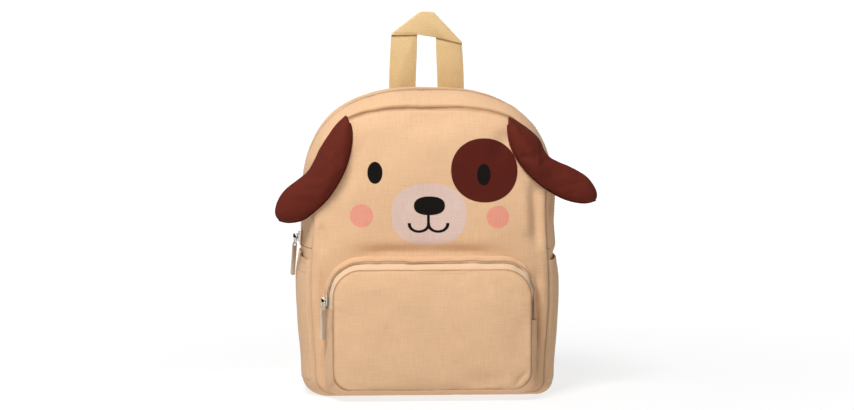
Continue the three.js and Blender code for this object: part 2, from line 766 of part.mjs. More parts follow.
function handleLeg(side) {
  const place = (x, z) => new THREE.Vector2(x, z);
  const onSeam = (x) => place(x, backSeamHeight(x) + GAP);
  const near = HANDLE_CENTRE + (side * HANDLE_GAP_BASE) / 2;
  const far = near + side * WEBBING_WIDTH;
  const nearTop = HANDLE_CENTRE + (side * HANDLE_GAP_TOP) / 2;
  const farTop = nearTop + side * WEBBING_WIDTH;
  const dip = side > 0 ? HANDLE_SLANT : 0;
  const sway = place((far + farTop) / 2 + side * HANDLE_SWAY, (onSeam(far).y + HANDLE_UNDERSIDE) / 2);
  const points = [
    onSeam(near),
    onSeam((near + far) / 2),
    onSeam(far),
    sway,
    place(farTop, HANDLE_UNDERSIDE - dip),
    place(nearTop + side * WEBBING, HANDLE_UNDERSIDE + HANDLE_FOLD / 2),
    place(nearTop, HANDLE_UNDERSIDE),
  ];
  return plate(points, WEBBING, BAG_DEPTH - GAP);
}

function handleFold() {
  const left = HANDLE_CENTRE - HANDLE_GAP_TOP / 2;
  const right = HANDLE_CENTRE + HANDLE_GAP_TOP / 2;
  const points = [
    new THREE.Vector2(left - WEBBING_WIDTH, HANDLE_UNDERSIDE),
    new THREE.Vector2(left, HANDLE_UNDERSIDE),
    new THREE.Vector2(right, HANDLE_UNDERSIDE - HANDLE_SLANT / 3),
    new THREE.Vector2(right + WEBBING_WIDTH, HANDLE_UNDERSIDE - HANDLE_SLANT),
    new THREE.Vector2(HANDLE_CENTRE + HANDLE_TIP_WIDTH / 2, HANDLE_TOP),
    new THREE.Vector2(HANDLE_CENTRE - HANDLE_TIP_WIDTH / 2, HANDLE_TOP),
  ];
  return plate(points, WEBBING, BAG_DEPTH - GAP - WEBBING + HANDLE_SINK);
}

function grabHandle() {
  return join(handleLeg(-1), handleLeg(1), handleFold());
}

addPiece("grab_handle", grabHandle(), WEBBING_STRAW);

// Shoulder straps. Each padded strap leaves the back panel near its top, bows out, comes back down and
// runs straight for a short lap, on the line from the tab in the bag's lower corner.

const BACK_FACE = BAG_DEPTH + BACK_PAD;
const STRAP_BEND = { tightening: 1.5, rise: { down: 0.3, bow: 0.55 }, fullest: { down: 0.5, bow: 0.95 } };
const STRAP_TAPER = { from: 0.6, to: 0.96, thinFrom: 0.9 };
const LOCK_PITCH = LOCK_BAR + LOCK_SLOT;
const FOLD_ROOM = LOCK_THICKNESS + 2 * GAP;
const FOLD_RISE = LOCK_BAR / 2 + GAP - Math.sqrt(FOLD_ROOM ** 2 - LOCK_THICKNESS ** 2) / 2;

// x across the strap, y away from the bag, z up the line
function lowerFrame(side) {
  const end = new THREE.Vector3(side * STRAP_END_SPREAD, BACK_FACE + STRAP_END_REACH, STRAP_END_HEIGHT);
  const reach = FOLD_ROOM / 2 + WEBBING + TAB_CLOTH;
  const tab = new THREE.Vector3(side * TAB_SPREAD, BACK_FACE + reach, TAB_HEIGHT);
  const up = end.clone().sub(tab).normalize();
  const across = new THREE.Vector3(1, 0, 0).addScaledVector(up, -up.x).normalize();
  const outward = new THREE.Vector3().crossVectors(up, across);
  const place = new THREE.Matrix4().makeBasis(across, outward, up).setPosition(tab);
  return { place, up, across, outward, end, length: end.distanceTo(tab) };
}

function strapLine(side, frame) {
  const lap = BACK_FACE + GAP + STRAP_PAD / 2;
  const drop = STRAP_TOP_HEIGHT - STRAP_END_HEIGHT;
  const { tightening, rise, fullest } = STRAP_BEND;
  const at = (down, out) => {
    const across = lerp(STRAP_TOP_SPREAD, STRAP_END_SPREAD, down ** tightening);
    return new THREE.Vector3(side * across, lap + out, STRAP_TOP_HEIGHT - down * drop);
  };
  const straight = frame.end.clone().addScaledVector(frame.up, LOOP_LAP);
  const bend = frame.end.clone().addScaledVector(frame.up, LOOP_LAP * 3);
  return new THREE.CatmullRomCurve3([
    at(0, -STRAP_SEAT),
    at(STRAP_LAP / drop, -STRAP_SEAT / 2),
    at(rise.down, STRAP_BOW * rise.bow),
    at(fullest.down, STRAP_BOW * fullest.bow),
    bend,
    straight,
  ]);
}

function paddedStrap(side) {
  const frame = lowerFrame(side);
  const line = strapLine(side, frame);
  const rows = spread(STRAP_SECTIONS).map((share) => {
    const ahead = line.getTangentAt(share);
    const across = new THREE.Vector3(1, 0, 0).addScaledVector(ahead, -ahead.x).normalize();
    const outward = new THREE.Vector3().crossVectors(across, ahead).normalize();
    const narrowed = smoothstep(share, STRAP_TAPER.from, STRAP_TAPER.to);
    const half = lerp(STRAP_WIDTH, STRAP_END_WIDTH, narrowed) / 2;
    const pad = lerp(STRAP_PAD, LOCK_THICKNESS, smoothstep(share, STRAP_TAPER.thinFrom, 1)) / 2;
    return { middle: line.getPointAt(share), across, outward, half, pad };
  });
  const last = rows[rows.length - 1];
  last.across = frame.across;
  last.outward = frame.outward;
  last.half = STRAP_WEBBING_WIDTH / 2;
  rows.push({ ...last, middle: frame.end });
  const face = (turn) =>
    rows.map((row) =>
      STRAP_COLUMNS.map((share) => {
        const crown = row.pad * Math.sqrt(1 - STRAP_EDGE * share ** DOME_SQUARENESS);
        return row.middle
          .clone()
          .addScaledVector(row.across, row.half * share)
          .addScaledVector(row.outward, turn * crown);
      })
    );
  return cut(wallBetween(face(1), face(-1)), envelope);
}

// Webbing folded over a bar: drawn from the side, with its two legs running down from the turn
function foldedWebbing(outerLeg, bagLeg, width) {
  const outside = FOLD_ROOM / 2 + WEBBING;
  const inside = FOLD_ROOM / 2;
  const shape = new THREE.Shape();
  shape.moveTo(outside, -outerLeg);
  shape.lineTo(outside, 0);
  shape.absarc(0, 0, outside, 0, Math.PI, false);
  shape.lineTo(-outside, -bagLeg);
  shape.lineTo(-inside, -bagLeg);
  shape.lineTo(-inside, 0);
  shape.absarc(0, 0, inside, Math.PI, 0, true);
  shape.lineTo(inside, -outerLeg);
  return sideways(shape, width, 5);
}

// Extrudes a shape drawn with x away from the bag and y up, across the strap or the zip
function sideways(shape, width, curveSegments = 4) {
  const geometry = new THREE.ExtrudeGeometry(shape, { depth: width, bevelEnabled: false, curveSegments });
  geometry.translate(0, 0, -width / 2);
  const across = new THREE.Vector3(1, 0, 0);
  const outward = new THREE.Vector3(0, 1, 0);
  const up = new THREE.Vector3(0, 0, 1);
  return geometry.applyMatrix4(new THREE.Matrix4().makeBasis(outward, up, across));
}

function box2(width, low, high) {
  return [
    new THREE.Vector2(-width / 2, low),
    new THREE.Vector2(width / 2, low),
    new THREE.Vector2(width / 2, high),
    new THREE.Vector2(-width / 2, high),
  ];
}

function ladderLock() {
  const slot = (level) => box2(LOCK_SLOT_WIDTH, level + LOCK_BAR / 2, level + LOCK_BAR / 2 + LOCK_SLOT);
  const rim = box2(LOCK_WIDTH, -LOCK_PITCH - LOCK_BAR / 2, LOCK_PITCH + LOCK_BAR / 2);
  return plate(rim, LOCK_THICKNESS, -LOCK_THICKNESS / 2, [slot(-LOCK_PITCH), slot(0)]);
}

function strapTab() {
  const outline = [
    new THREE.Vector2(-TAB_WIDTH / 2, -TAB_DROP),
    new THREE.Vector2(TAB_WIDTH / 2, -TAB_DROP),
    new THREE.Vector2(STRAP_WEBBING_WIDTH / 2 + CLOTH, TAB_RISE),
    new THREE.Vector2(-STRAP_WEBBING_WIDTH / 2 - CLOTH, TAB_RISE),
  ];
  return plate(outline, TAB_CLOTH, -FOLD_ROOM / 2 - WEBBING - GAP - TAB_CLOTH);
}

function shoulderStrap(side, name) {
  const { place, length } = lowerFrame(side);
  const topBar = length - FOLD_ROOM / 2 - WEBBING;
  const middleBar = topBar - LOCK_PITCH;
  const raised = (geometry, height) => geometry.translate(0, 0, height).applyMatrix4(place);
  const loopLeg = length + LOOP_LAP - topBar + FOLD_RISE;
  const loop = foldedWebbing(loopLeg, loopLeg, STRAP_WEBBING_WIDTH).rotateY(Math.PI);
  const bagLeg = middleBar + FOLD_RISE + TAB_DROP / 2;
  const webbing = foldedWebbing(STRAP_TAIL, bagLeg, STRAP_WEBBING_WIDTH);
  addPiece(`shoulder_strap_${name}`, paddedStrap(side), CLOTH_SAND);
  addPiece(`strap_loop_${name}`, raised(loop, topBar - FOLD_RISE), WEBBING_STRAW);
  addPiece(`strap_adjuster_${name}`, raised(ladderLock(), middleBar), LOCK_PLASTIC);
  addPiece(`strap_webbing_${name}`, cut(raised(webbing, middleBar + FOLD_RISE), envelope), WEBBING_STRAW);
  addPiece(`strap_tab_${name}`, cut(raised(strapTab(), 0), envelope), CLOTH_SAND);
}

shoulderStrap(-1, "left");
shoulderStrap(1, "right");

// Zip sliders, each with a ring through its bridge and a rod on the ring. They are built with x across
// the zip, y away from the bag and z along the zip, and then set on the coil.

const RING_RADIUS = (RING_DIAMETER - RING_WIRE) / 2;
const RING_LEAN = RING_RADIUS * Math.sin(RING_TWIST);
const BRIDGE_ROOM = RING_WIRE + 2 * GAP + BRIDGE_WIDTH * Math.sin(RING_TWIST);
const RING_LEVEL = SLIDER_PLATE + 2 * GAP + RING_WIRE / 2 + RING_LEAN;
const TUNNEL_HEIGHT = SLIDER_LENGTH / 2;

function slider() {
  const rim = box2(SLIDER_WIDTH, 0, SLIDER_LENGTH);
  rim[0].x = -SLIDER_TIP / 2;
  rim[1].x = SLIDER_TIP / 2;
  const base = plate(rim, SLIDER_PLATE, GAP);
  const low = RING_LEVEL - BRIDGE_ROOM / 2;
  const high = RING_LEVEL + BRIDGE_ROOM / 2;
  const reach = BRIDGE_ROOM / 2 + BRIDGE_WALL;
  const bridge = new THREE.Shape([
    new THREE.Vector2(SLIDER_PLATE, TUNNEL_HEIGHT - reach),
    new THREE.Vector2(high, TUNNEL_HEIGHT - reach),
    new THREE.Vector2(high + BRIDGE_WALL, TUNNEL_HEIGHT - BRIDGE_ROOM / 2),
    new THREE.Vector2(high + BRIDGE_WALL, TUNNEL_HEIGHT + BRIDGE_ROOM / 2),
    new THREE.Vector2(high, TUNNEL_HEIGHT + reach),
    new THREE.Vector2(SLIDER_PLATE, TUNNEL_HEIGHT + reach),
  ]);
  const tunnel = [
    new THREE.Vector2(low, TUNNEL_HEIGHT - BRIDGE_ROOM / 2),
    new THREE.Vector2(high, TUNNEL_HEIGHT - BRIDGE_ROOM / 2),
    new THREE.Vector2(high, TUNNEL_HEIGHT + BRIDGE_ROOM / 2),
    new THREE.Vector2(low, TUNNEL_HEIGHT + BRIDGE_ROOM / 2),
  ];
  bridge.holes.push(new THREE.Path(tunnel));
  return join(base, sideways(bridge, BRIDGE_WIDTH));
}

function ring(lean) {
  const torus = new THREE.TorusGeometry(RING_RADIUS, RING_WIRE / 2, 6, 16);
  return hung(torus.rotateX(Math.PI / 2), lean);
}

function pullRod(lean) {
  const shape = new THREE.Shape();
  const eye = PULL_EYE / 2 + PULL_WALL;
  shape.moveTo(-PULL_WIDTH / 2, -PULL_LENGTH + PULL_TIP_WIDTH / 2);
  shape.lineTo(-PULL_WIDTH / 2, -eye);
  shape.absarc(0, 0, eye, Math.PI, 0, true);
  shape.lineTo(PULL_TIP_WIDTH / 2, -PULL_LENGTH + PULL_TIP_WIDTH / 2);
  shape.absarc(0, -PULL_LENGTH + PULL_TIP_WIDTH / 2, PULL_TIP_WIDTH / 2, 0, -Math.PI, true);
  const hole = new THREE.Path().absarc(0, 0, PULL_EYE / 2, 0, 2 * Math.PI, false);
  shape.holes.push(hole);
  const rod = sideways(shape, PULL_THICKNESS, 6);
  return hung(rod.translate(0, 0, -RING_RADIUS - (PULL_EYE - RING_WIRE) / 2 + GAP), lean);
}

// Turns a loose piece about the ring's own upright line and hangs it, leaning, in the slider's tunnel
function hung(geometry, lean) {
  geometry.rotateZ(RING_TWIST).translate(0, 0, -RING_RADIUS);
  return geometry.rotateX(lean).translate(0, RING_LEVEL, TUNNEL_HEIGHT);
}

function addZipHardware(name, spot, above) {
  const up = above.clone().sub(spot).normalize();
  const across = new THREE.Vector3(0, 1, 0);
  const outward = new THREE.Vector3().crossVectors(up, across).normalize();
  const place = new THREE.Matrix4().makeBasis(across, outward, up).setPosition(spot);
  addPiece(`${name}_slider`, slider().applyMatrix4(place), NICKEL);
  const lean = -Math.asin(outward.z) * PULL_PLUMB;
  addPiece(`${name}_ring`, ring(lean).applyMatrix4(place), NICKEL);
  addPiece(`${name}_pull`, pullRod(lean).applyMatrix4(place), NICKEL);
}

const coilTop = (u) => gussetPoint(ZIP_DEPTH, -u, ZIP_RECESS - ZIP_COIL / 2);
const mainSlider = ZIP_END + SLIDER_SET * MM_OF_SIDE;
addZipHardware("main_zip", coilTop(mainSlider), coilTop(mainSlider + ZIP_RUN_AHEAD * MM_OF_SIDE));

const pocketCoilTop = (u) => pocketPoint(POCKET_COIL_Y + POCKET_COIL / 2, u, -COIL_RISE);
const pocketSlider = pocketShareAt(POCKET_ZIP_LEFT_END + SLIDER_SET);
addZipHardware("pocket_zip", pocketCoilTop(-pocketSlider), pocketCoilTop(-POCKET_SHARES.side));

// The origin is the middle of the whole object's footprint, on the surface that it stands on
const extent = new THREE.Box3().setFromObject(bag);
const middle = extent.getCenter(new THREE.Vector3());
bag.position.set(-middle.x, -middle.y, -extent.min.z);

export default bag;
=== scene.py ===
import math

import bmesh
import bpy
import numpy as np
from bpy.props import FloatProperty, FloatVectorProperty, PointerProperty
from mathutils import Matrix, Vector, noise


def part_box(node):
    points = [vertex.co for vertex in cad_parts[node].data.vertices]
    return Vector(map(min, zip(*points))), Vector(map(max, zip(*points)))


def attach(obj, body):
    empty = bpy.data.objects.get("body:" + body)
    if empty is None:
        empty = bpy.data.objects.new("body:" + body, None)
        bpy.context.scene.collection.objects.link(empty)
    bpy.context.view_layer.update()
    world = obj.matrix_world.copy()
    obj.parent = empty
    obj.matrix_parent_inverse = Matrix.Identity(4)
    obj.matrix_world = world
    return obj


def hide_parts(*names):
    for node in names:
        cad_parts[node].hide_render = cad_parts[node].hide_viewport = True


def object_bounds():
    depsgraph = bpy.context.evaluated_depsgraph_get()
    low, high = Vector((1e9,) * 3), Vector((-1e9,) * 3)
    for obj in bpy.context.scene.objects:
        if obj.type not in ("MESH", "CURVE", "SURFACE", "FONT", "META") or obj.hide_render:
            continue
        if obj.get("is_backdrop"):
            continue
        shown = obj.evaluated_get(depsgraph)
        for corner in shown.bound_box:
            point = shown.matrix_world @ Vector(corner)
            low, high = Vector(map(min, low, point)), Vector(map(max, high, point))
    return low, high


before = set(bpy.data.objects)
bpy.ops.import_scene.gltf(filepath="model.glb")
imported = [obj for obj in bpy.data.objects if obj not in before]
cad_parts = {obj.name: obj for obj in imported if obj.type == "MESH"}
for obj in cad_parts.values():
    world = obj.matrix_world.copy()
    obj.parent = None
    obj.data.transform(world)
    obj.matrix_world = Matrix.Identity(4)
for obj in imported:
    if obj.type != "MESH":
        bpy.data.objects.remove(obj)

bl_info = {
    "name": "Puppy backpack",
    "version": (1, 0, 0),
    "blender": (4, 5, 0),
    "location": "3D View > Sidebar > Backpack",
    "description": "Dresses the packed backpack in cloth, zips, webbing and stuffed ears",
    "category": "Object",
}

SOLID_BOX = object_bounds()

# All sizes below are in millimetres, in the bag's own frame: x across from the middle of the bag,
# y back from the seam of the face panel, z up from the floor. ORIGIN places it in the model's.
MM = 0.001
FACE_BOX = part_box("front_panel")
ORIGIN = np.array([(FACE_BOX[0][0] + FACE_BOX[1][0]) / 2, FACE_BOX[1][1], 0.0]) / MM
BAG_MIDDLE = np.array([0.0, 48.0, 150.0])

GAP = 0.3
CLOTH = 1.8
BAG_DEPTH = 96.0
FRONT_ROLL = 44.0
BACK_ROLL = 34.0
FLOOR_ROLL_SHARE = 0.25
FACE_BULGE = 14.0
FACE_CENTRE_HEIGHT = 140.0
BACK_CROWN = 5.0
BACK_PAD = 8.0
ZIP_DEPTH = 25.0
ZIP_WIDTH = 7.0
ZIP_RECESS = 0.8
ZIP_END_HEIGHT = 148.0
SLIP_ROOM = 5.0
SLIP_HEM_BACK = 138.5
SLIP_HEM_FRONT = 135.7

CORNERS = dict(left=17.0, right=12.0)
MIDDLE = dict(CORNERS, crown=304.0, shoulder=125.0, spring=194.0, power=2.5,
              belly=130.0, base=125.0, floor=0.0)
FRONT_SEAM = dict(CORNERS, crown=286.5, shoulder=114.5, spring=190.5, power=3.2,
                  belly=117.5, base=113.0, floor=3.5)
BACK_SEAM = dict(CORNERS, crown=297.0, shoulder=119.0, spring=194.0, power=2.5,
                 belly=124.5, base=119.0, floor=3.0)
BASE_SHARE, CORNER_SHARE, SIDE_SHARE = 0.22, 0.3, 0.62
RIM_SAMPLES = 2401
PANEL_REACH = 110

POCKET_MOUTH = dict(half=104.0, top=140.0, floor=4.0, upper=36.0, lower=16.0)
POCKET_SEAM = dict(half=97.0, top=129.0, floor=11.5, upper=27.0, lower=17.0)
POCKET_DEPTH = 25.0
POCKET_BULGE = 7.0
POCKET_FLARE = 1.5
POCKET_SEAM_Y = -FACE_BULGE - POCKET_DEPTH
POCKET_CENTRE_HEIGHT = 70.25
POCKET_STRIP_Y = -FACE_BULGE - 8.0
POCKET_COIL_Y = POCKET_STRIP_Y - 2.9
POCKET_SHARES = dict(floor=0.24, lower=0.34, side=0.56, upper=0.74)
POCKET_ZIP_LEFT_END = 91.0
POCKET_ZIP_RIGHT_END = 78.0


def lerp(a, b, share):
    return a + (b - a) * share


def ease(value, low=0.0, high=1.0):
    share = np.clip((np.asarray(value, float) - low) / (high - low), 0, 1)
    return share * share * (3 - 2 * share)


def mixed(a, b, share):
    return {key: lerp(a[key], b[key], share) for key in a}


# The bag's outline, as in the solids: u is 0 in the middle of the base and +1 or -1 at the crown


def outline(shape, u):
    u = np.asarray(u, float)
    side = np.where(u < 0, -1.0, 1.0)
    along = np.abs(u)
    corner = np.where(u < 0, shape["left"], shape["right"])
    base, floor, spring, shoulder = (shape[key] for key in ("base", "floor", "spring", "shoulder"))
    turn = np.clip((along - BASE_SHARE) / (CORNER_SHARE - BASE_SHARE), 0, 1) * math.pi / 2
    rise = np.clip((along - CORNER_SHARE) / (SIDE_SHARE - CORNER_SHARE), 0, 1)
    arch = np.clip((along - SIDE_SHARE) / (1 - SIDE_SHARE), 0, 1) * math.pi / 2
    swell = (shape["belly"] - (base + shoulder) / 2) * np.sin(math.pi * rise) ** 2
    power = 2 / shape["power"]
    zones = [along <= BASE_SHARE, along <= CORNER_SHARE, along <= SIDE_SHARE]
    across = np.select(zones, [
        (base - corner) * along / BASE_SHARE,
        base - corner + corner * np.sin(turn),
        lerp(base, shoulder, rise) + swell,
    ], shoulder * np.clip(np.cos(arch), 0, 1) ** power)
    height = np.select(zones, [
        floor + 0 * along,
        floor + corner * (1 - np.cos(turn)),
        lerp(floor + corner, spring, rise),
    ], spring + (shape["crown"] - spring) * np.sin(arch) ** power)
    return side * across, height


def side_share(height):
    low, high = MIDDLE["right"], MIDDLE["spring"]
    return lerp(CORNER_SHARE, SIDE_SHARE, (height - low) / (high - low))


ZIP_END = side_share(ZIP_END_HEIGHT)


def rolled(from_seam, roll):
    return np.clip(1 - from_seam / roll, 0, 1) ** 3


def gusset_shape(depth, out=0.0):
    depth = np.asarray(depth, float)
    shape = mixed(MIDDLE, FRONT_SEAM, rolled(depth, FRONT_ROLL))
    shape = mixed(shape, BACK_SEAM, rolled(BAG_DEPTH - depth, BACK_ROLL))
    front_lift = FRONT_SEAM["floor"] * rolled(depth, FRONT_ROLL * FLOOR_ROLL_SHARE)
    back_lift = BACK_SEAM["floor"] * rolled(BAG_DEPTH - depth, BACK_ROLL * FLOOR_ROLL_SHARE)
    shape["floor"] = front_lift + back_lift - out
    for key in ("crown", "shoulder", "belly", "base"):
        shape[key] = shape[key] + out
    return shape


def gusset_points(depth, u, out=0.0):
    depth, u, out = np.broadcast_arrays(depth, u, out)
    x, z = outline(gusset_shape(depth, out), u)
    return np.stack([x, depth, z], axis=-1)


def distances(path):
    """How far along a line each of its points lies."""
    return np.concatenate([[0], np.cumsum(np.linalg.norm(np.diff(path, axis=0), axis=1))])


def evenly(points, extra, count):
    """Points spaced evenly along a fine line of points, with the numbers in extra carried along."""
    along = distances(points)
    wanted = np.linspace(0, along[-1], count)
    placed = np.stack([np.interp(wanted, along, points[:, k]) for k in range(3)], axis=-1)
    return placed, np.interp(wanted, along, extra), wanted


def strip_grid(points_at, rows, start, end, columns, over_top, samples=1600):
    """Rows of (depth, out) as a grid of points, the share u of each and the distance along it.

    The strip runs from share start to share end, over the top or under the base.
    """
    share = np.linspace(-1, 1, samples)
    if over_top:
        rising = start + (1 - start) * (1 + share)
        falling = end - (1 - abs(end)) * (1 - share)
        u = np.where(share < 0, rising, falling)
    else:
        u = lerp(start, end, (share + 1) / 2)
    strips = [evenly(points_at(depth, u, out), u, columns) for depth, out in rows]
    grid, shares, along = (np.array(part) for part in zip(*strips))
    return grid, shares, along - along[:, -1:] / 2


def seam_points(shape):
    """Fine points along a panel's seam, at no depth."""
    x, z = outline(shape, np.linspace(-1, 1, RIM_SAMPLES))
    return np.stack([x, 0 * x, z], axis=-1)


RIM_X, _, RIM_Z = seam_points(FRONT_SEAM).T
RIM_ANGLE = np.unwrap(np.arctan2(RIM_X, FACE_CENTRE_HEIGHT - RIM_Z))
RIM_RADIUS = np.hypot(RIM_X, RIM_Z - FACE_CENTRE_HEIGHT)


def rim_radius(x, z):
    return np.interp(np.arctan2(x, FACE_CENTRE_HEIGHT - z), RIM_ANGLE, RIM_RADIUS)


def face_depth(x, z):
    """How far forward the face stands at x, z. Past its seam: how far back the gusset rolls."""
    reach = np.hypot(x, z - FACE_CENTRE_HEIGHT)
    rim = rim_radius(x, z)
    share = np.clip(reach / rim, 0, 1)
    beyond = np.clip((reach - rim) / 13.0, 0, 0.98)
    return -FACE_BULGE * np.sqrt(1 - share**4) + FRONT_ROLL * (1 - (1 - beyond) ** (1 / 3)) * 0.9


# The pocket's outline: u is 0 in the middle of its floor and +1 or -1 in the middle of its top


def pocket_outline(box, u):
    u = np.asarray(u, float)
    side = np.where(u < 0, -1.0, 1.0)
    along = np.abs(u)
    floor, lower, upright, upper = POCKET_SHARES.values()
    half = box["half"]
    down = np.clip((along - floor) / (lower - floor), 0, 1) * math.pi / 2
    rise = np.clip((along - lower) / (upright - lower), 0, 1)
    over = np.clip((along - upright) / (upper - upright), 0, 1) * math.pi / 2
    zones = [along <= floor, along <= lower, along <= upright, along <= upper]
    x = np.select(zones, [
        (half - box["lower"]) * along / floor,
        half - box["lower"] * (1 - np.sin(down)),
        half + 0 * along,
        half - box["upper"] * (1 - np.cos(over)),
    ], (half - box["upper"]) * (1 - np.clip((along - upper) / (1 - upper), 0, 1)))
    z = np.select(zones, [
        box["floor"] + 0 * along,
        box["floor"] + box["lower"] * (1 - np.cos(down)),
        lerp(box["floor"] + box["lower"], box["top"] - box["upper"], rise),
        box["top"] - box["upper"] * (1 - np.sin(over)),
    ], box["top"] + 0 * along)
    return side * x, z


def pocket_share(height):
    low = POCKET_MOUTH["floor"] + POCKET_MOUTH["lower"]
    high = POCKET_MOUTH["top"] - POCKET_MOUTH["upper"]
    return lerp(POCKET_SHARES["lower"], POCKET_SHARES["side"], (height - low) / (high - low))


def pocket_points(y, u, out=0.0):
    y, u, out = np.broadcast_arrays(y, u, out)
    back = np.clip((y - POCKET_SEAM_Y) / POCKET_DEPTH, 0, 1)
    box = mixed(POCKET_SEAM, POCKET_MOUTH, back**POCKET_FLARE)
    box["half"] = box["half"] + out
    box["top"] = box["top"] + out
    box["floor"] = box["floor"] - out
    x, z = pocket_outline(box, u)
    return np.stack([x, y, z], axis=-1)


POCKET_ZIP_ENDS = (pocket_share(POCKET_ZIP_RIGHT_END), -pocket_share(POCKET_ZIP_LEFT_END))
POCKET_MIDDLE = np.array([0.0, -25.0, POCKET_CENTRE_HEIGHT])
POCKET_SAMPLES = 1400


# Cloth that isn't quite smooth


def rumple(points, scale, seed):
    """Smooth noise from about -1 to 1, at points in millimetres."""
    flat = points.reshape(-1, 3) / scale + np.array([seed * 7.3, seed * 3.1, seed * 5.7])
    return np.array([noise.noise(Vector(p)) for p in flat]).reshape(points.shape[:-1])


def ripples(along, pitch, seed):
    """Puckers along a seam: smooth noise of one number."""
    flat = np.asarray(along, float).ravel() / pitch
    values = [noise.noise(Vector((p, seed * 3.7, 0.5))) for p in flat]
    return np.array(values).reshape(np.shape(along))


def from_line(a, b, line):
    """Distance of places (a, b) from a polyline, and the share along it of the nearest place."""
    best = np.full(np.shape(a), 1e9)
    share = np.zeros(np.shape(a))
    spans = len(line) - 1
    for k in range(spans):
        start, end = np.array(line[k], float), np.array(line[k + 1], float)
        way = end - start
        t = np.clip(((a - start[0]) * way[0] + (b - start[1]) * way[1]) / way.dot(way), 0, 1)
        distance = np.hypot(a - start[0] - t * way[0], b - start[1] - t * way[1])
        nearer = distance < best
        best = np.where(nearer, distance, best)
        share = np.where(nearer, (k + t) / spans, share)
    return best, share


def creases(a, b, lines):
    """Height of folds at places (a, b). Each is (line, height, width), a valley if below 0."""
    total = np.zeros(np.shape(a))
    for line, height, width in lines:
        distance, share = from_line(a, b, line)
        fade = ease(share, -0.02, 0.3) * (1 - ease(share, 0.7, 1.02))
        total += height * np.exp(-((distance / width) ** 2)) * np.maximum(fade, 0.12)
    return total


def surface_normals(grid, wraps=False, middle=BAG_MIDDLE):
    if wraps:
        around = np.roll(grid, -1, axis=1) - np.roll(grid, 1, axis=1)
    else:
        around = np.gradient(grid, axis=1)
    down = np.gradient(grid, axis=0)
    normal = np.cross(around, down)
    size = np.linalg.norm(normal, axis=-1, keepdims=True)
    normal = normal / np.maximum(size, 1e-9)
    if np.sum(normal * (grid - middle)) < 0:
        normal = -normal
    return normal


# Meshes


def grid_faces(rows, columns, wraps=False, start=0):
    spans = columns if wraps else columns - 1
    i, j = np.meshgrid(np.arange(rows - 1), np.arange(spans), indexing="ij")
    k = (j + 1) % columns
    low, high = i * columns, (i + 1) * columns
    quads = np.stack([low + j, low + k, high + k, high + j], axis=-1)
    return (quads.reshape(-1, 4) + start).tolist()


def tube_faces(rows, columns):
    """Faces of a tube of rings, closed at both ends."""
    last = (rows - 1) * columns
    ends = [list(range(columns)), [last + j for j in range(columns)]]
    return grid_faces(rows, columns, wraps=True) + ends


def shell(outer, thickness, wraps=False, poled=False, middle=BAG_MIDDLE):
    """A closed wall under a grid of points: its corners and faces, the outer grid first."""
    rows, columns = outer.shape[:2]
    inner = outer - surface_normals(outer, wraps, middle) * np.asarray(thickness)[..., None]
    corners = np.concatenate([outer.reshape(-1, 3), inner.reshape(-1, 3)])
    count = rows * columns
    faces = grid_faces(rows, columns, wraps)
    faces += [[a, d, c, b] for a, b, c, d in grid_faces(rows, columns, wraps, count)]
    spans = columns if wraps else columns - 1
    last = (rows - 1) * columns
    borders = [(last + j, last + (j + 1) % columns) for j in range(spans)]
    if poled:
        faces.append(list(range(columns)))
        faces.append([count + j for j in range(columns)])
    else:
        borders += [((j + 1) % columns, j) for j in range(spans)]
    if not wraps:
        starts = [i * columns for i in range(rows)]
        steps = list(zip(starts, starts[1:]))
        borders += steps + [(b + columns - 1, a + columns - 1) for a, b in steps]
    faces += [[b, a, count + a, count + b] for a, b in borders]
    return corners, faces


def sweep(path, section, across=None):
    """A section of (side, up) places carried along a path. across fixes its side direction."""
    path = np.asarray(path, float)
    ahead = np.gradient(path, axis=0)
    ahead /= np.linalg.norm(ahead, axis=1, keepdims=True)
    side = np.zeros_like(path)
    guide = np.array([0.3, 0.5, 0.8])
    for k in range(len(path)):
        wish = guide if across is None else np.broadcast_to(across, path.shape)[k]
        side[k] = wish - ahead[k] * np.dot(wish, ahead[k])
        side[k] /= np.linalg.norm(side[k])
        guide = side[k]
    up = np.cross(side, ahead)
    rings = path[:, None] + section[:, :1] * side[:, None] + section[:, 1:] * up[:, None]
    return rings.reshape(-1, 3), tube_faces(*rings.shape[:2])


def circle(sides):
    turn = np.linspace(0, 2 * math.pi, sides, endpoint=False)
    return np.stack([np.cos(turn), np.sin(turn)], axis=-1)


def band_section(width, thickness):
    """A flat band with rounded edges."""
    half, rise = width / 2, thickness / 2
    flat = half - rise * 0.9
    across = np.linspace(-flat, flat, 10)
    right = [(flat + rise * 0.9 * math.cos(t), rise * math.sin(t)) for t in (0.9, 0.0, -0.9)]
    left = [(-a, b) for a, b in reversed(right)]
    return np.array([(a, rise) for a in across] + right + [(a, -rise) for a in across[::-1]] + left)


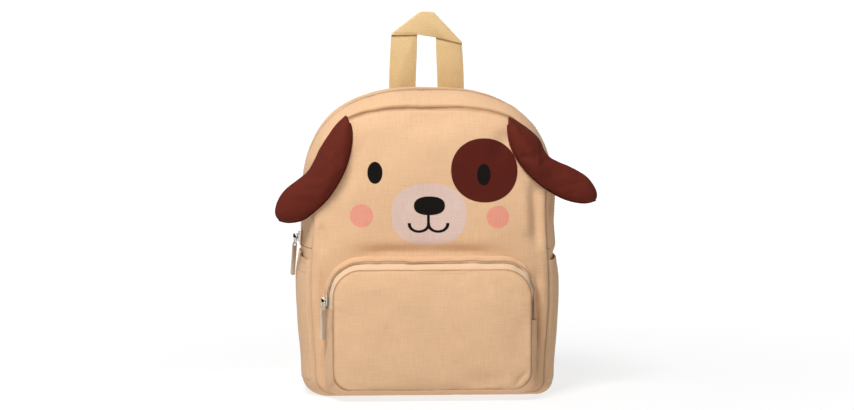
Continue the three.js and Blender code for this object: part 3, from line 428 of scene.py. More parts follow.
class Build:
    """Corners and faces gathered for one piece, with each corner's place on the cloth."""

    def __init__(self):
        self.corners, self.faces, self.cloth, self.finishes = [], [], [], []
        self.count = 0

    def add(self, corners, faces, cloth=None, finish=0):
        corners = np.asarray(corners, float).reshape(-1, 3)
        self.corners.append(corners)
        self.cloth.append(corners if cloth is None else np.asarray(cloth, float).reshape(-1, 3))
        self.faces += [[k + self.count for k in face] for face in faces]
        self.finishes += [finish] * len(faces)
        self.count += len(corners)
        return self

    def wall(self, outer, thickness, cloth, finish=0, **form):
        """Adds a closed wall of cloth under a grid of points."""
        corners, faces = shell(outer, thickness, **form)
        flat = np.asarray(cloth, float).reshape(-1, 3)
        return self.add(corners, faces, np.concatenate([flat, flat]), finish)

    def make(self, name, finishes, slot, stands_for=(), crease_angle=62):
        mesh = bpy.data.meshes.new(name)
        corners = (np.concatenate(self.corners) + ORIGIN) * MM
        mesh.from_pydata(corners, [], self.faces)
        mesh.update()
        places = np.concatenate(self.cloth).astype(np.float32)
        attribute = mesh.attributes.new("cloth", "FLOAT_VECTOR", "POINT")
        attribute.data.foreach_set("vector", places.ravel())
        mesh.polygons.foreach_set("material_index", self.finishes)
        for finish in finishes:
            mesh.materials.append(FINISHES[finish])
        face_outward(mesh)
        mesh.shade_smooth()
        mesh.set_sharp_from_angle(angle=math.radians(crease_angle))
        return seated(linked(name, mesh), stands_for)


def face_outward(mesh):
    work = bmesh.new()
    work.from_mesh(mesh)
    bmesh.ops.recalc_face_normals(work, faces=work.faces)
    work.to_mesh(mesh)
    work.free()


def linked(name, data):
    """A new object in the scene."""
    made = bpy.data.objects.new(name, data)
    bpy.context.scene.collection.objects.link(made)
    return made


def seated(piece, stands_for=()):
    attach(piece, "root")
    if stands_for:
        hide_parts(*stands_for)
    return piece


def painted_seam_falloff(distance, width):
    """Mask of the painted seam shade: 1 at a seam and 0 away from it."""
    return np.exp(-((np.asarray(distance, float) / width) ** 2))


def painted_seam_strength(x, z):
    """How strongly shade is painted along the seams round the face: most on top, more on the right side than
    the left, and none under the ears.
    """
    under_ear = ease(np.abs(x), 80, 86) * ease(z, 225, 235)
    return np.maximum(0.75 * ease(z, 232, 276), np.where(x > 0, 0.75, 0.3)) * (1 - under_ear)


def on_cloth(a, b, c=0.0):
    a, b, c = np.broadcast_arrays(a, b, c)
    return np.stack([a, b, c], axis=-1)


def frames_along(path, normals, pitch, reach):
    """Centre, ahead, side and normal at even steps along a path of points."""
    path = np.asarray(path, float)
    normals = np.broadcast_to(normals, path.shape)
    steps = distances(path)
    at = lambda rows, s: np.array([np.interp(s, steps, rows[:, k]) for k in range(3)])
    for start in np.arange(pitch / 2, steps[-1] - pitch / 2, pitch):
        normal = at(normals, start)
        ahead = at(path, start + reach) - at(path, start - reach)
        ahead /= np.linalg.norm(ahead)
        normal = normal - ahead * normal.dot(ahead)
        normal /= np.linalg.norm(normal)
        yield at(path, start), ahead, np.cross(ahead, normal), normal


LINK_SIDES = 6


def add_link(build, middles, radii, across, up, finish):
    """A small closed tube through its middles."""
    spokes = circle(LINK_SIDES) @ np.array([across, up])
    rings = np.array(middles)[:, None] + np.array(radii)[:, None, None] * spokes
    build.add(rings, tube_faces(len(middles), LINK_SIDES), finish=finish)


def stitch_row(build, path, normals, pitch):
    """Short rounded stitches laid end to end along a path, in the piece's second finish."""
    for centre, ahead, side, normal in frames_along(path, normals, pitch, 0.3 * pitch):
        middles = [centre + ahead * where * pitch * 0.68 + normal * up
                   for where, up in ((-0.5, -0.1), (-0.34, 0.1), (0.34, 0.1), (0.5, -0.1))]
        add_link(build, middles, (0.08, 0.288, 0.288, 0.08), side, normal, 1)


def zip_teeth(build, path, normals, pitch=1.35, reach=2.5, radius=0.62):
    """The coil of a closed zip: rounded links lying across it, each side's in turn."""
    radii = (radius / 2, radius, radius, radius / 2)
    frames = frames_along(path, normals, pitch, pitch / 2)
    for number, (centre, ahead, side, normal) in enumerate(frames):
        way = (side if number % 2 else -side) * reach + ahead * 0.5
        middles = [centre + way * where - normal * drop
                   for where, drop in ((-0.45, 0.5), (-0.2, 0), (0.45, 0), (0.62, 0.5))]
        add_link(build, middles, radii, ahead, normal, 0)


# Finishes


def both_ways(operation):
    """An operator of fields and its reflected form."""
    return (lambda self, other: self.math(operation, self, other),
            lambda self, other: self.math(operation, other, self))


class Field:
    """A number that changes over the surface. Sums and products of fields add Math nodes."""

    def __init__(self, finish, socket):
        self.finish, self.socket = finish, socket

    def math(self, operation, *values):
        return self.finish.add("Math", {"operation": operation}, dict(enumerate(values)))

    __add__, __radd__ = both_ways("ADD")
    __sub__, __rsub__ = both_ways("SUBTRACT")
    __mul__, __rmul__ = both_ways("MULTIPLY")
    __truediv__, __rtruediv__ = both_ways("DIVIDE")
    __pow__, __rpow__ = both_ways("POWER")

    def __abs__(self):
        return self.math("ABSOLUTE", self)

    def sine(self):
        return self.math("SINE", self)

    def root(self):
        return self.math("SQRT", self)

    def fraction(self):
        return self.math("FRACT", self)

    def least(self, other):
        return self.math("MINIMUM", self, other)

    def most(self, other):
        return self.math("MAXIMUM", self, other)

    def clamped(self):
        return self.most(0.0).least(1.0)


class Finish:
    """One procedural material, built of expressions."""

    def __init__(self, name):
        self.material = bpy.data.materials.new(name)
        self.material.use_nodes = True
        self.tree = self.material.node_tree
        self.tree.nodes.clear()

    def node(self, kind, settings=None, sockets=None):
        """Adds a node: its settings first, then the values or links of its sockets."""
        made = self.tree.nodes.new("ShaderNode" + kind)
        for key, value in (settings or {}).items():
            setattr(made, key, value)
        for key, value in (sockets or {}).items():
            if isinstance(value, Field):
                self.tree.links.new(value.socket, made.inputs[key])
            else:
                made.inputs[key].default_value = value
        return made

    def add(self, kind, settings=None, sockets=None, output=0):
        return Field(self, self.node(kind, settings, sockets).outputs[output])

    def cloth(self):
        """Places on the cloth in millimetres, along and across, and the painted seam shade, 1 at a seam down
        to 0.
        """
        place = self.add("Attribute", {"attribute_name": "cloth"}, output="Vector")
        parts = self.node("SeparateXYZ", sockets={0: place})
        return (place, *(Field(self, output) for output in parts.outputs))

    def inside(self):
        """Places in a hard part or on the floor, in metres."""
        return self.add("TexCoord", output="Object")

    def scaled(self, place, by):
        return self.add("VectorMath", {"operation": "MULTIPLY"}, {0: place, 1: by})

    def noise(self, place, scale, detail=2.0):
        sockets = {"Vector": place, "Scale": scale, "Detail": detail, "Roughness": 0.5}
        return self.add("TexNoise", {"noise_dimensions": "3D"}, sockets, "Fac")

    def mix(self, a, b, share, blend="MIX"):
        """A colour between a and b."""
        settings = {"data_type": "RGBA", "blend_type": blend}
        return self.add("Mix", settings, {"Factor": share, 6: a, 7: b}, 2)

    def shade(self, colour, by):
        """A colour multiplied by a number."""
        grey = self.add("CombineColor", sockets={0: by, 1: by, 2: by})
        return self.mix(colour, grey, 1.0, "MULTIPLY")

    def done(self, colour, roughness, height=None, depth=0.1, strength=1.0, **steady):
        """Ends the material: depth is its bumps' in millimetres, steady holds single numbers."""
        sockets = {"Base Color": colour, "Roughness": roughness}
        sockets.update({key.replace("_", " "): value for key, value in steady.items()})
        if height is not None:
            bumps = {"Strength": strength, "Distance": depth * MM, "Height": height}
            sockets["Normal"] = self.add("Bump", None, bumps, "Normal")
        shader = self.add("BsdfPrincipled", None, sockets, "BSDF")
        self.node("OutputMaterial", sockets={"Surface": shader})
        return self.material


def linear(hexed):
    """A web colour as the linear colour that shaders take."""
    parts = [int(hexed[k:k + 2], 16) / 255 for k in (1, 3, 5)]
    return tuple(p / 12.92 if p < 0.04045 else ((p + 0.055) / 1.055) ** 2.4 for p in parts) + (1.0,)


def weave(finish, along, across, place, pitch):
    """Height of a plain weave with uneven yarns, and how light each yarn is."""
    turn = 2 * math.pi / pitch
    checks = (along * turn).sine() * (across * turn).sine()
    warp = finish.noise(finish.scaled(place, (1 / pitch, 0.06, 1)), 1.0, 1.0)
    weft = finish.noise(finish.scaled(place, (0.06, 1 / pitch, 1)), 1.0, 1.0)
    yarns = (warp + weft) * 0.5
    return checks * 0.5 + yarns * 1.2, yarns


def cloth_finish(name, colour, look, print_on=None, sheen=0.06):
    finish = Finish(name)
    place, along, across, seam = finish.cloth()
    height, yarns = weave(finish, along, across, place, look.weave_pitch)
    patches = finish.noise(place, 0.035)
    level = 0.94 + (yarns - 0.5) * look.yarn_contrast + (patches - 0.5) * 0.05
    # Painted shade: near seams the colour is drawn towards a dark brown, standing in for the shade that falls
    # in and under the seams.
    seam_shade_colour = (colour[0] * 0.42, colour[1] * 0.28, colour[2] * 0.17, 1.0)
    base = print_on(finish, along, across, colour) if print_on else colour
    base = finish.mix(base, seam_shade_colour, (seam * look.seam_shade).clamped())
    roughness = 0.9 - (yarns - 0.5) * 0.15
    return finish.done(finish.shade(base, level), roughness, height, depth=0.12, strength=0.55,
                       Sheen_Weight=sheen, Sheen_Roughness=0.5, Specular_IOR_Level=0.12)


def webbing_finish(name, colour, pitch=1.1):
    """Ribbed webbing: cloth x runs along the band and y across it."""
    finish = Finish(name)
    place, along, across, _ = finish.cloth()
    slant = ((along + abs((across * 0.25).fraction() - 0.5) * 4.0) * (2 * math.pi / pitch)).sine()
    ribs = (across * (2 * math.pi / 1.6)).sine()
    yarns = finish.noise(finish.scaled(place, (0.3, 1.8, 1)), 1.0)
    level = 0.95 + slant * 0.06 + ribs * 0.035 + (yarns - 0.5) * 0.34
    height = slant * 0.6 + ribs * 0.5 + yarns
    return finish.done(finish.shade(colour, level), 0.82, height, depth=0.3, strength=0.8,
                       Sheen_Weight=0.06, Specular_IOR_Level=0.15)


def tape_finish(name, colour):
    """Knitted zip tape: fine ribs along it."""
    finish = Finish(name)
    place, along, across, _ = finish.cloth()
    ribs = (across * (2 * math.pi / 0.8)).sine()
    knots = (along * (2 * math.pi / 0.7)).sine()
    yarns = finish.noise(place, 1.3)
    level = 0.95 + ribs * 0.04 + (yarns - 0.5) * 0.16
    height = ribs + knots * 0.4 + yarns
    return finish.done(finish.shade(colour, level), 0.85, height, depth=0.1, strength=0.6,
                       Sheen_Weight=0.15, Specular_IOR_Level=0.3)


def metal_finish(name, colour):
    finish = Finish(name)
    place = finish.inside()
    worn = finish.noise(place, 900.0, 3.0)
    rub = finish.noise(finish.scaled(place, (1, 1, 0.15)), 2600.0)
    return finish.done(finish.shade(colour, 0.9 + worn * 0.2), 0.24 + rub * 0.2, rub,
                       depth=0.02, strength=0.3, Metallic=1.0)


def plastic_finish(name, colour):
    finish = Finish(name)
    place = finish.inside()
    grain = finish.noise(place, 3000.0)
    cloud = finish.noise(place, 90.0)
    level = 0.95 + (cloud - 0.5) * 0.12
    return finish.done(finish.shade(colour, level), 0.42 + grain * 0.12, grain,
                       depth=0.03, strength=0.4, Specular_IOR_Level=0.5)


# The puppy's printed face, in millimetres on the face panel

EYE_LEFT = dict(x=-54.7, z=222.0, half_x=7.4, half_z=10.8, power=2.0)
EYE_RIGHT = dict(x=52.0, z=219.8, half_x=6.6, half_z=10.6, power=2.0)
PATCH = dict(x=52.6, z=223.9, half_x=32.8, half_z=31.4, power=2.08)
MUZZLE = dict(x=-1.9, z=181.2, half_x=36.9, half_z=29.9, power=2.4)
NOSE = dict(x=-1.4, z=189.5, half_x=15.3, half_z=9.2, power=2.35)
CHEEK_LEFT = dict(x=-67.9, z=179.9, half_x=11.4, half_z=11.4, power=2.0)
CHEEK_RIGHT = dict(x=65.9, z=178.2, half_x=11.2, half_z=11.2, power=2.0)
PATCH_LEAN = 0.018
MOUTH_WIDTH = 2.8


def blot(x, z, spot, soft=0.35):
    """1 inside a printed oval and 0 outside."""
    aside = abs((x - spot["x"]) / spot["half_x"]) ** spot["power"]
    above = abs((z - spot["z"]) / spot["half_z"]) ** spot["power"]
    reach = (aside + above) ** (1 / spot["power"])
    return ((1 - reach) * (min(spot["half_x"], spot["half_z"]) / soft) + 0.5).clamped()


def stroke(distance, width, soft=0.3):
    return ((width / 2 - distance) / soft + 0.5).clamped()


def mouth(x, z):
    """The stem under the nose and the two curls of the mouth."""
    total = stroke(abs(x + 2.4).most(abs(z - 175.0) - 4.6), MOUTH_WIDTH)
    for centre in (-11.7, 7.1):
        aside = (x - centre) / 9.4
        below = (z - 171.6).least(0.0) / 7.3
        curl = abs((aside * aside + below * below).root() - 1.0) * 8.2
        total = total.most(stroke(curl.most((z - 172.0) * 2.0), MOUTH_WIDTH))
    return total


def puppy_face(colours):
    def printed(finish, x, z, cloth):
        cheeks = blot(x, z, CHEEK_LEFT).most(blot(x, z, CHEEK_RIGHT))
        eyes = blot(x, z, EYE_LEFT).most(blot(x, z, EYE_RIGHT))
        dark = eyes.most(blot(x, z, NOSE)).most(mouth(x, z))
        patch = blot(x + (z - PATCH["z"]) * PATCH_LEAN, z, PATCH)
        colour = finish.mix(cloth, colours["muzzle"], blot(x, z, MUZZLE))
        for ink, mask in (("cheek", cheeks), ("patch", patch), ("ink", dark)):
            colour = finish.mix(colour, colours[ink], mask)
        return colour

    return printed


FINISHES = {}
COLOURS = ("sand", "brown", "webbing", "tape", "coil", "nickel", "plastic",
           "muzzle", "cheek", "patch", "ink")


def make_finishes(look):
    colour = {key: tuple(getattr(look, key)) + (1.0,) for key in COLOURS}
    thread = tuple(part * 0.93 for part in look.sand) + (1.0,)
    FINISHES.update(
        sand=cloth_finish("sand cloth", colour["sand"], look),
        face=cloth_finish("printed sand cloth", colour["sand"], look, puppy_face(colour)),
        brown=cloth_finish("brown ear cloth", colour["brown"], look, sheen=0.0),
        webbing=webbing_finish("straw webbing", colour["webbing"]),
        tape=tape_finish("zip tape", colour["tape"]),
        thread=plastic_finish("sewing thread", thread),
        coil=plastic_finish("zip coil", colour["coil"]),
        nickel=metal_finish("pale nickel", colour["nickel"]),
        plastic=plastic_finish("buckle plastic", colour["plastic"]),
    )


# Panels of the bag

FACE_FOLDS = (
    (((-70, 268), (-71, 245), (-77, 222), (-88, 203), (-100, 190)), -2.8, 8),
    (((-107, 174), (-106, 158), (-107, 140)), -2.4, 4),
    (((58, 226), (70, 250), (80, 266)), -3.6, 9),
    (((72, 256), (58, 236), (49, 222)), 0.7, 7),
    (((105, 224), (103, 195), (105, 165), (107, 138)), -4.6, 7),
    (((93, 205), (95, 180), (95, 155)), 1.4, 7),
    (((-30, 272), (0, 269), (30, 271)), -2.6, 11),
    (((-90, 240), (-60, 262)), 0.7, 10),
    (((-82, 142), (-40, 144.5), (20, 144.5), (82, 143)), -3.4, 6),
    (((105, 134), (106, 90), (105, 36)), -4.0, 4.5),
    (((-104, 132), (-106, 90), (-104, 40)), -2.4, 4),
    (((-95, 168), (-70, 155), (-40, 150)), 0.6, 8),
)


def dome_grid(rim, count, rings, centre_height, crowding=1.55):
    """A flat grid from a panel's middle to its rim, its rings' shares and places on the rim."""
    ring = 1 - (1 - np.linspace(0.02, 1, rings)[:, None]) ** crowding
    placed, _, along = evenly(rim, rim[:, 0], count)
    placed, along = placed[:-1], along[:-1]
    grid = np.zeros((rings, len(placed), 3))
    grid[..., 0] = placed[:, 0] * ring
    grid[..., 2] = lerp(centre_height, placed[:, 2], ring)
    return grid, ring, along


def tucked(grid, tucks, half, rise, centre_height):
    """The grid with its rim turned in at the seam, in rows of (depth, inset)."""
    rows = [grid]
    for depth, inset in tucks:
        edge = grid[-1:].copy()
        edge[..., 1] = depth
        edge[..., 0] *= 1 - inset / half
        edge[..., 2] = lerp(edge[..., 2], centre_height, inset / rise)
        rows.append(edge)
    return np.concatenate(rows)


def puckers(cloth, along, waves, away):
    """Puckers that die away from a seam. Each wave is (pitch, seed, height)."""
    height = sum(ripples(along, pitch, seed) * size for pitch, seed, size in waves)
    return cloth.pucker * height * np.exp(-away)


def front_panel(cloth):
    grid, ring, along = dome_grid(seam_points(FRONT_SEAM), 341, 64, FACE_CENTRE_HEIGHT)
    grid[..., 1] = -FACE_BULGE * np.sqrt(1 - ring**4)
    normals = surface_normals(grid, wraps=True)
    x, z = grid[..., 0], grid[..., 2]
    away = (1 - ring) * PANEL_REACH
    inner = ease(away, 0.0, 8.0)
    lift = creases(x, z, FACE_FOLDS) * inner
    lift += cloth.rumple * (rumple(grid, 60, 1) * 1.6 + rumple(grid, 24, 2) * 0.5) * inner
    waves = ((9.0, 4, 0.7), (23.0, 5, 0.6))
    lift += puckers(cloth, along, waves, away / 7.0) * ease(away, 0.0, 1.5)
    lift -= 2.8 * np.exp(-((away / 10.0) ** 2)) * ease(z, 255, 282) * ease(away, 0, 2)
    grid = grid + normals * lift[..., None]
    full = tucked(grid, ((0.9, 0.5), (1.8, 1.6), (2.2, 3.2)), 115, 130, FACE_CENTRE_HEIGHT)
    x, z = full[..., 0], full[..., 2]
    # Painted shade along the face's seam, strongest on top and on the right side.
    edges = painted_seam_falloff(np.concatenate([away, np.zeros((3, 1))]), 1.0) * painted_seam_strength(x, z)
    build = Build().wall(full, 1.2, on_cloth(x, z, edges), wraps=True, poled=True)
    return build.make("face_panel", ("face",), "cloth_sand", ["front_panel"])


def slip_hollow(depth, u):
    height = (np.abs(u) - CORNER_SHARE) / (ZIP_END - CORNER_SHARE)
    up = ease(height, 0, 0.3) * (1 - ease(height, 0.93, 1))
    through = np.sin(math.pi * np.clip(depth / BAG_DEPTH, 0, 1)) ** 1.5
    return SLIP_ROOM * up * through


LEFT_SIDE_FOLDS = (
    (((10, 236), (14, 200), (12, 160)), -1.6, 5),
    (((4, 120), (9, 80), (6, 36)), -1.8, 3.5),
)
RIGHT_SIDE_FOLDS = (
    (((8, 245), (12, 205), (9, 160)), -2.6, 4.5),
    (((16, 235), (19, 200), (17, 165)), 1.8, 4),
    (((6, 120), (10, 80), (8, 40)), -2.2, 3.5),
)


def side_folds(grid):
    """Height of the folds at either side of the gusset, drawn by their depth and height."""
    depth, height = grid[..., 1], grid[..., 2]
    left, right = (creases(depth, height, folds) for folds in (LEFT_SIDE_FOLDS, RIGHT_SIDE_FOLDS))
    return np.where(grid[..., 0] < 0, left, right)


def seam_rows(start, end, count):
    """Rows of (depth, out) across a strip, with its edges turned in at the seams."""
    spread = ease(np.linspace(0.06, 0.94, count))
    rows = [(depth, 0.0) for depth in start + (end - start) * spread]
    tuck = ((1.4, -3.4), (0.5, -2.0), (0.0, -0.9), (0.15, -0.25))
    first = [(start + depth, out) for depth, out in tuck]
    last = [(end - depth, out) for depth, out in reversed(tuck)]
    return first + rows + last


def row_fade(count):
    """0 on the rows that are turned in at a seam and 1 away from them."""
    number = np.arange(count)
    return ease(np.minimum(number, count - 1 - number), 2, 7)[:, None]


def lip(grid):
    """How far the gusset's front edge rolls forward over the seam: most along the top."""
    near = np.exp(-np.clip(grid[..., 1], 0, None) / 3.5)
    wave = 1 + 0.35 * ripples(grid[..., 0], 26.0, 81)
    return near * lerp(0.6, 2.4, ease(grid[..., 2], 262, 283)) * wave


def arch_strip(name, node, rows, cloth, seed, stitched_at):
    grid, _, along = strip_grid(gusset_points, rows, ZIP_END, -ZIP_END, 380, True)
    normals = surface_normals(grid)
    depth = grid[..., 1]
    lift = cloth.rumple * (rumple(grid, 42, seed) * 0.9 + rumple(grid, 17, seed + 1) * 0.3)
    waves = ((8.0, seed + 2, 0.5), (21.0, seed, 0.5))
    for edge in (grid[4, 0, 1], grid[-5, 0, 1]):
        lift += puckers(cloth, along, waves, np.abs(depth - edge) / 6.0)
    lift += side_folds(grid)
    grid = grid + normals * (lift * row_fade(len(rows)))[..., None]
    grid[..., 1] -= lip(grid)
    # Painted shade along both edges of the strip, at its seams.
    edges = painted_seam_falloff(np.minimum(depth - depth.min(), depth.max() - depth), 0.9)
    edges = edges * painted_seam_strength(grid[..., 0], grid[..., 2])
    build = Build().wall(grid, 1.1, on_cloth(along, depth, edges))
    row = int(np.argmin(np.abs(grid[:, 0, 1] - stitched_at)))
    stitch_row(build, grid[row], surface_normals(grid)[row], cloth.stitch_pitch)
    return build.make(name, ("sand", "thread"), "cloth_sand", [node])


def top_gussets(cloth):
    front_edge = ZIP_DEPTH - ZIP_WIDTH / 2 - GAP
    back_edge = ZIP_DEPTH + ZIP_WIDTH / 2 + GAP
    before = seam_rows(0.0, front_edge + 1.4, 20)
    behind = seam_rows(back_edge - 1.4, BAG_DEPTH, 44)
    arch_strip("gusset_before_zip", "zip_gusset_front", before, cloth, 11, front_edge - 1.4)
    arch_strip("gusset_behind_zip", "zip_gusset_back", behind, cloth, 17, back_edge + 1.6)


def base_gusset(cloth):
    rows = seam_rows(0.0, BAG_DEPTH, 60)
    reach = ZIP_END - 0.001
    grid, shares, along = strip_grid(gusset_points, rows, -reach, reach, 330, False)
    normals = surface_normals(grid)
    depth = grid[..., 1]
    loose = ease(grid[..., 2], 4, 30)
    lift = cloth.rumple * (rumple(grid, 45, 21) * 0.8 + rumple(grid, 18, 22) * 0.3) * loose
    for edge in (0.0, BAG_DEPTH):
        waves = ((8.5, 23, 0.5), (22.0, 24, 0.4))
        lift += puckers(cloth, along, waves, np.abs(depth - edge) / 6.0)
    lift += side_folds(grid) - slip_hollow(depth, shares)
    lift = np.where(grid[..., 2] < 6, np.minimum(lift, 0), lift)
    grid = grid + normals * (lift * row_fade(len(rows)))[..., None]
    grid[..., 2] = np.maximum(grid[..., 2], 0.0)
    grid[..., 1] -= lip(grid)
    # Painted shade along both edges of the gusset, at its seams.
    edges = painted_seam_falloff(np.minimum(depth, BAG_DEPTH - depth), 0.9)
    edges = edges * painted_seam_strength(grid[..., 0], grid[..., 2])
    build = Build().wall(grid, 1.1, on_cloth(along, depth, edges))
    return build.make("gusset_under_bag", ("sand",), "cloth_sand", ["base_gusset"])


def main_zip():
    half = ZIP_WIDTH / 2 + 1.6
    rows = [(ZIP_DEPTH + away, -ZIP_RECESS) for away in np.linspace(-half, half, 9)]
    reach = ZIP_END + 0.002
    grid, _, along = strip_grid(gusset_points, rows, reach, -reach, 380, True)
    build = Build().wall(grid, 0.8, on_cloth(along, grid[..., 1]), finish=1)
    normals = surface_normals(grid)
    zip_teeth(build, grid[4] + normals[4] * 0.45, normals[4])
    return build.make("main_zip_chain", ("coil", "tape"), "coil_grey", ["main_zipper"])


def slip_pocket(side, name, node, cloth):
    depths = lerp(3.0, BAG_DEPTH - 3.0, ease(np.linspace(0.05, 0.95, 40)))
    rows = [(1.2, -1.2)] + [(d, 1.2) for d in depths] + [(BAG_DEPTH - 1.2, -1.2)]
    count = 90
    grid = []
    for depth, out in rows:
        hem = lerp(SLIP_HEM_FRONT, SLIP_HEM_BACK, np.clip(2 * depth / BAG_DEPTH, 0, 1))
        u = np.linspace(CORNER_SHARE - 0.02, side_share(hem), 400)
        grid.append(evenly(gusset_points(depth, side * u, out), u, count)[0])
    grid = np.array(grid)
    depth = grid[..., 1]
    normals = surface_normals(grid)
    share = np.linspace(0, 1, count)[None, :]
    through = np.clip(np.sin(math.pi * depth / BAG_DEPTH), 0, 1) ** 1.5
    hem = (share > 0.9) * 0.55
    gather = ripples(depth, 5.5, 31 + side) * ease(share, 0.6, 1.0) * 0.7
    lift = cloth.rumple * (rumple(grid, 38, 33 + side) * 0.5) * through + (hem + gather) * through
    lift -= 3.3 * ease(share, 0.84, 1.0) * through
    lift -= (1 - ease(share, 0.0, 0.08)) * 2.4
    grid = grid + normals * lift[..., None]
    rim = []
    for inward, drop in ((0.7, -0.5), (1.7, 0.3), (1.9, 6.0), (1.9, 12.0)):
        edge = grid[:, -1:] - normals[:, -1:] * inward * ease(through[:, -1:], 0, 0.5)[..., None]
        edge[..., 2] -= drop
        rim.append(edge)
    full = np.concatenate([grid] + rim, axis=1)
    build = Build().wall(full, 0.7, on_cloth(full[..., 1], full[..., 2]))
    for place in (0.905, 0.975):
        k = int(place * (count - 1))
        stitch_row(build, grid[2:-2, k], surface_normals(grid)[2:-2, k], cloth.stitch_pitch)
    return build.make(name, ("sand", "thread"), "cloth_sand", [node])


QUILT_HEIGHTS = (88, 150, 212)
QUILT_SAG = 5


def back_panel(cloth):
    grid, ring, _ = dome_grid(seam_points(BACK_SEAM), 301, 56, FACE_CENTRE_HEIGHT, 1.6)
    crown = BACK_CROWN + 1.5
    rim = BAG_DEPTH + BACK_PAD - crown
    grid[..., 1] = rim + crown * (1 - ring**5) ** 0.5
    away = (1 - ring) * PANEL_REACH
    seams = [(((-100, height), (0, height - QUILT_SAG), (100, height)), -2.3, 2.6)
             for height in QUILT_HEIGHTS]
    lift = creases(grid[..., 0], grid[..., 2], seams) * ease(away, 6, 16)
    lift += cloth.rumple * rumple(grid, 30, 41) * 0.6 * ease(away, 0, 6)
    lift -= 1.8 * np.exp(-(((away - 15) / 2.2) ** 2))
    grid[..., 1] += np.minimum(lift, 0.4)
    tucks = ((rim - 1.0, -0.4), (rim - 2.4, 0.2), (BAG_DEPTH - 0.4, 1.0), (BAG_DEPTH - 1.6, 2.6))
    full = tucked(grid, tucks, 120, 135, FACE_CENTRE_HEIGHT)
    build = Build().wall(full, 1.4, on_cloth(full[..., 0], full[..., 2]), wraps=True, poled=True)
    across = np.linspace(-92, 92, 120)
    for height in QUILT_HEIGHTS:
        up = height - QUILT_SAG * (1 - np.abs(across) / 100)
        reach = np.hypot(across, up - FACE_CENTRE_HEIGHT) / 125
        out = rim + crown * np.sqrt(np.clip(1 - reach**5, 0.02, 1)) - 2.0
        stitch_row(build, np.stack([across, out, up], axis=-1), (0, 1, 0), cloth.stitch_pitch)
    piece = build.make("back_pad", ("sand", "thread"), "cloth_sand", ["back_panel"])


# Front pocket

POCKET_FOLDS = (
    (((-85, 120), (-60, 118), (-30, 121)), -0.7, 6),
    (((60, 123), (75, 112), (84, 98)), -1.0, 6),
    (((45, 126), (52, 112), (56, 100)), -0.9, 4),
    (((25, 126), (28, 114)), -0.7, 4),
    (((20, 24), (50, 20), (80, 26)), -1.2, 7),
    (((-80, 30), (-50, 22), (-20, 22)), -0.8, 7),
    (((-88, 96), (-80, 70), (-84, 40)), -1.1, 8),
    (((-101, 34), (-95, 23), (-88, 9)), -3.6, 3.4),
    (((95, 30), (86, 22), (80, 10)), -1.8, 3.2),
    (((88, 90), (82, 60), (86, 34)), -0.9, 8),
)


def pocket_face(cloth):
    rim = pocket_points(POCKET_SEAM_Y, np.linspace(-1, 1, RIM_SAMPLES))
    grid, ring, along = dome_grid(rim, 301, 50, POCKET_CENTRE_HEIGHT)
    grid[..., 1] = POCKET_SEAM_Y - GAP - POCKET_BULGE * np.sqrt(1 - ring**4)
    normals = surface_normals(grid, wraps=True)
    away = (1 - ring) * 78
    inner = ease(away, 0, 6)
    lift = creases(grid[..., 0], grid[..., 2], POCKET_FOLDS) * inner
    lift += cloth.rumple * (rumple(grid, 45, 51) * 1.2 + rumple(grid, 19, 52) * 0.45) * inner
    waves = ((8.0, 53, 0.6), (19.0, 54, 0.6))
    lift += puckers(cloth, along, waves, away / 6.0) * ease(away, 0, 1.5)
    grid = grid + normals * lift[..., None]
    tucks = [(POCKET_SEAM_Y + y, inset) for y, inset in ((0.2, 1.2), (1.8, 2.2), (2.6, 4.2))]
    full = tucked(grid, tucks, 97, 60, POCKET_CENTRE_HEIGHT)
    # Painted shade along the pocket face's seam.
    edges = painted_seam_falloff(np.concatenate([away, np.zeros((3, 1))]), 1.1)
    places = on_cloth(full[..., 0], full[..., 2], edges)
    build = Build().wall(full, 1.2, places, wraps=True, poled=True)
    return build.make("pocket_face", ("sand",), "cloth_sand", ["pocket_panel"])


def pocket_wall(name, node, rows, cloth, seed, finish, slot, over_top=True, thickness=1.1,
                stitched=None):
    """A strip of the pocket's wall: over its top between the zip's ends, or the rest under it."""
    right, left = POCKET_ZIP_ENDS
    ends = (right, left) if over_top else (left + 0.002, right - 0.002)
    grid, _, along = strip_grid(pocket_points, rows, *ends, 300, over_top, POCKET_SAMPLES)
    normals = surface_normals(grid, middle=POCKET_MIDDLE)
    bunch = np.exp(-(((grid[..., 0] - 83) / 16) ** 2)) * (grid[..., 2] > 100)
    wave = ripples(along, 11.0, seed) * 0.6 + ripples(along, 27.0, seed + 1) * 0.8
    lift = cloth.pucker * wave + bunch * ripples(along, 7.0, seed + 2) * 0.9
    grid = grid + normals * lift[..., None]
    y = grid[..., 1]
    # Painted shade along both edges of the wall strip.
    edges = painted_seam_falloff(np.minimum(np.abs(y + 2), np.abs(y - grid[-1, 0, 1])), 0.9)
    build = Build().wall(grid, thickness, on_cloth(along, y, edges), middle=POCKET_MIDDLE)
    if stitched is not None:
        stitch_row(build, grid[stitched], normals[stitched], cloth.stitch_pitch)
    return build.make(name, (finish, "thread"), slot, [node])


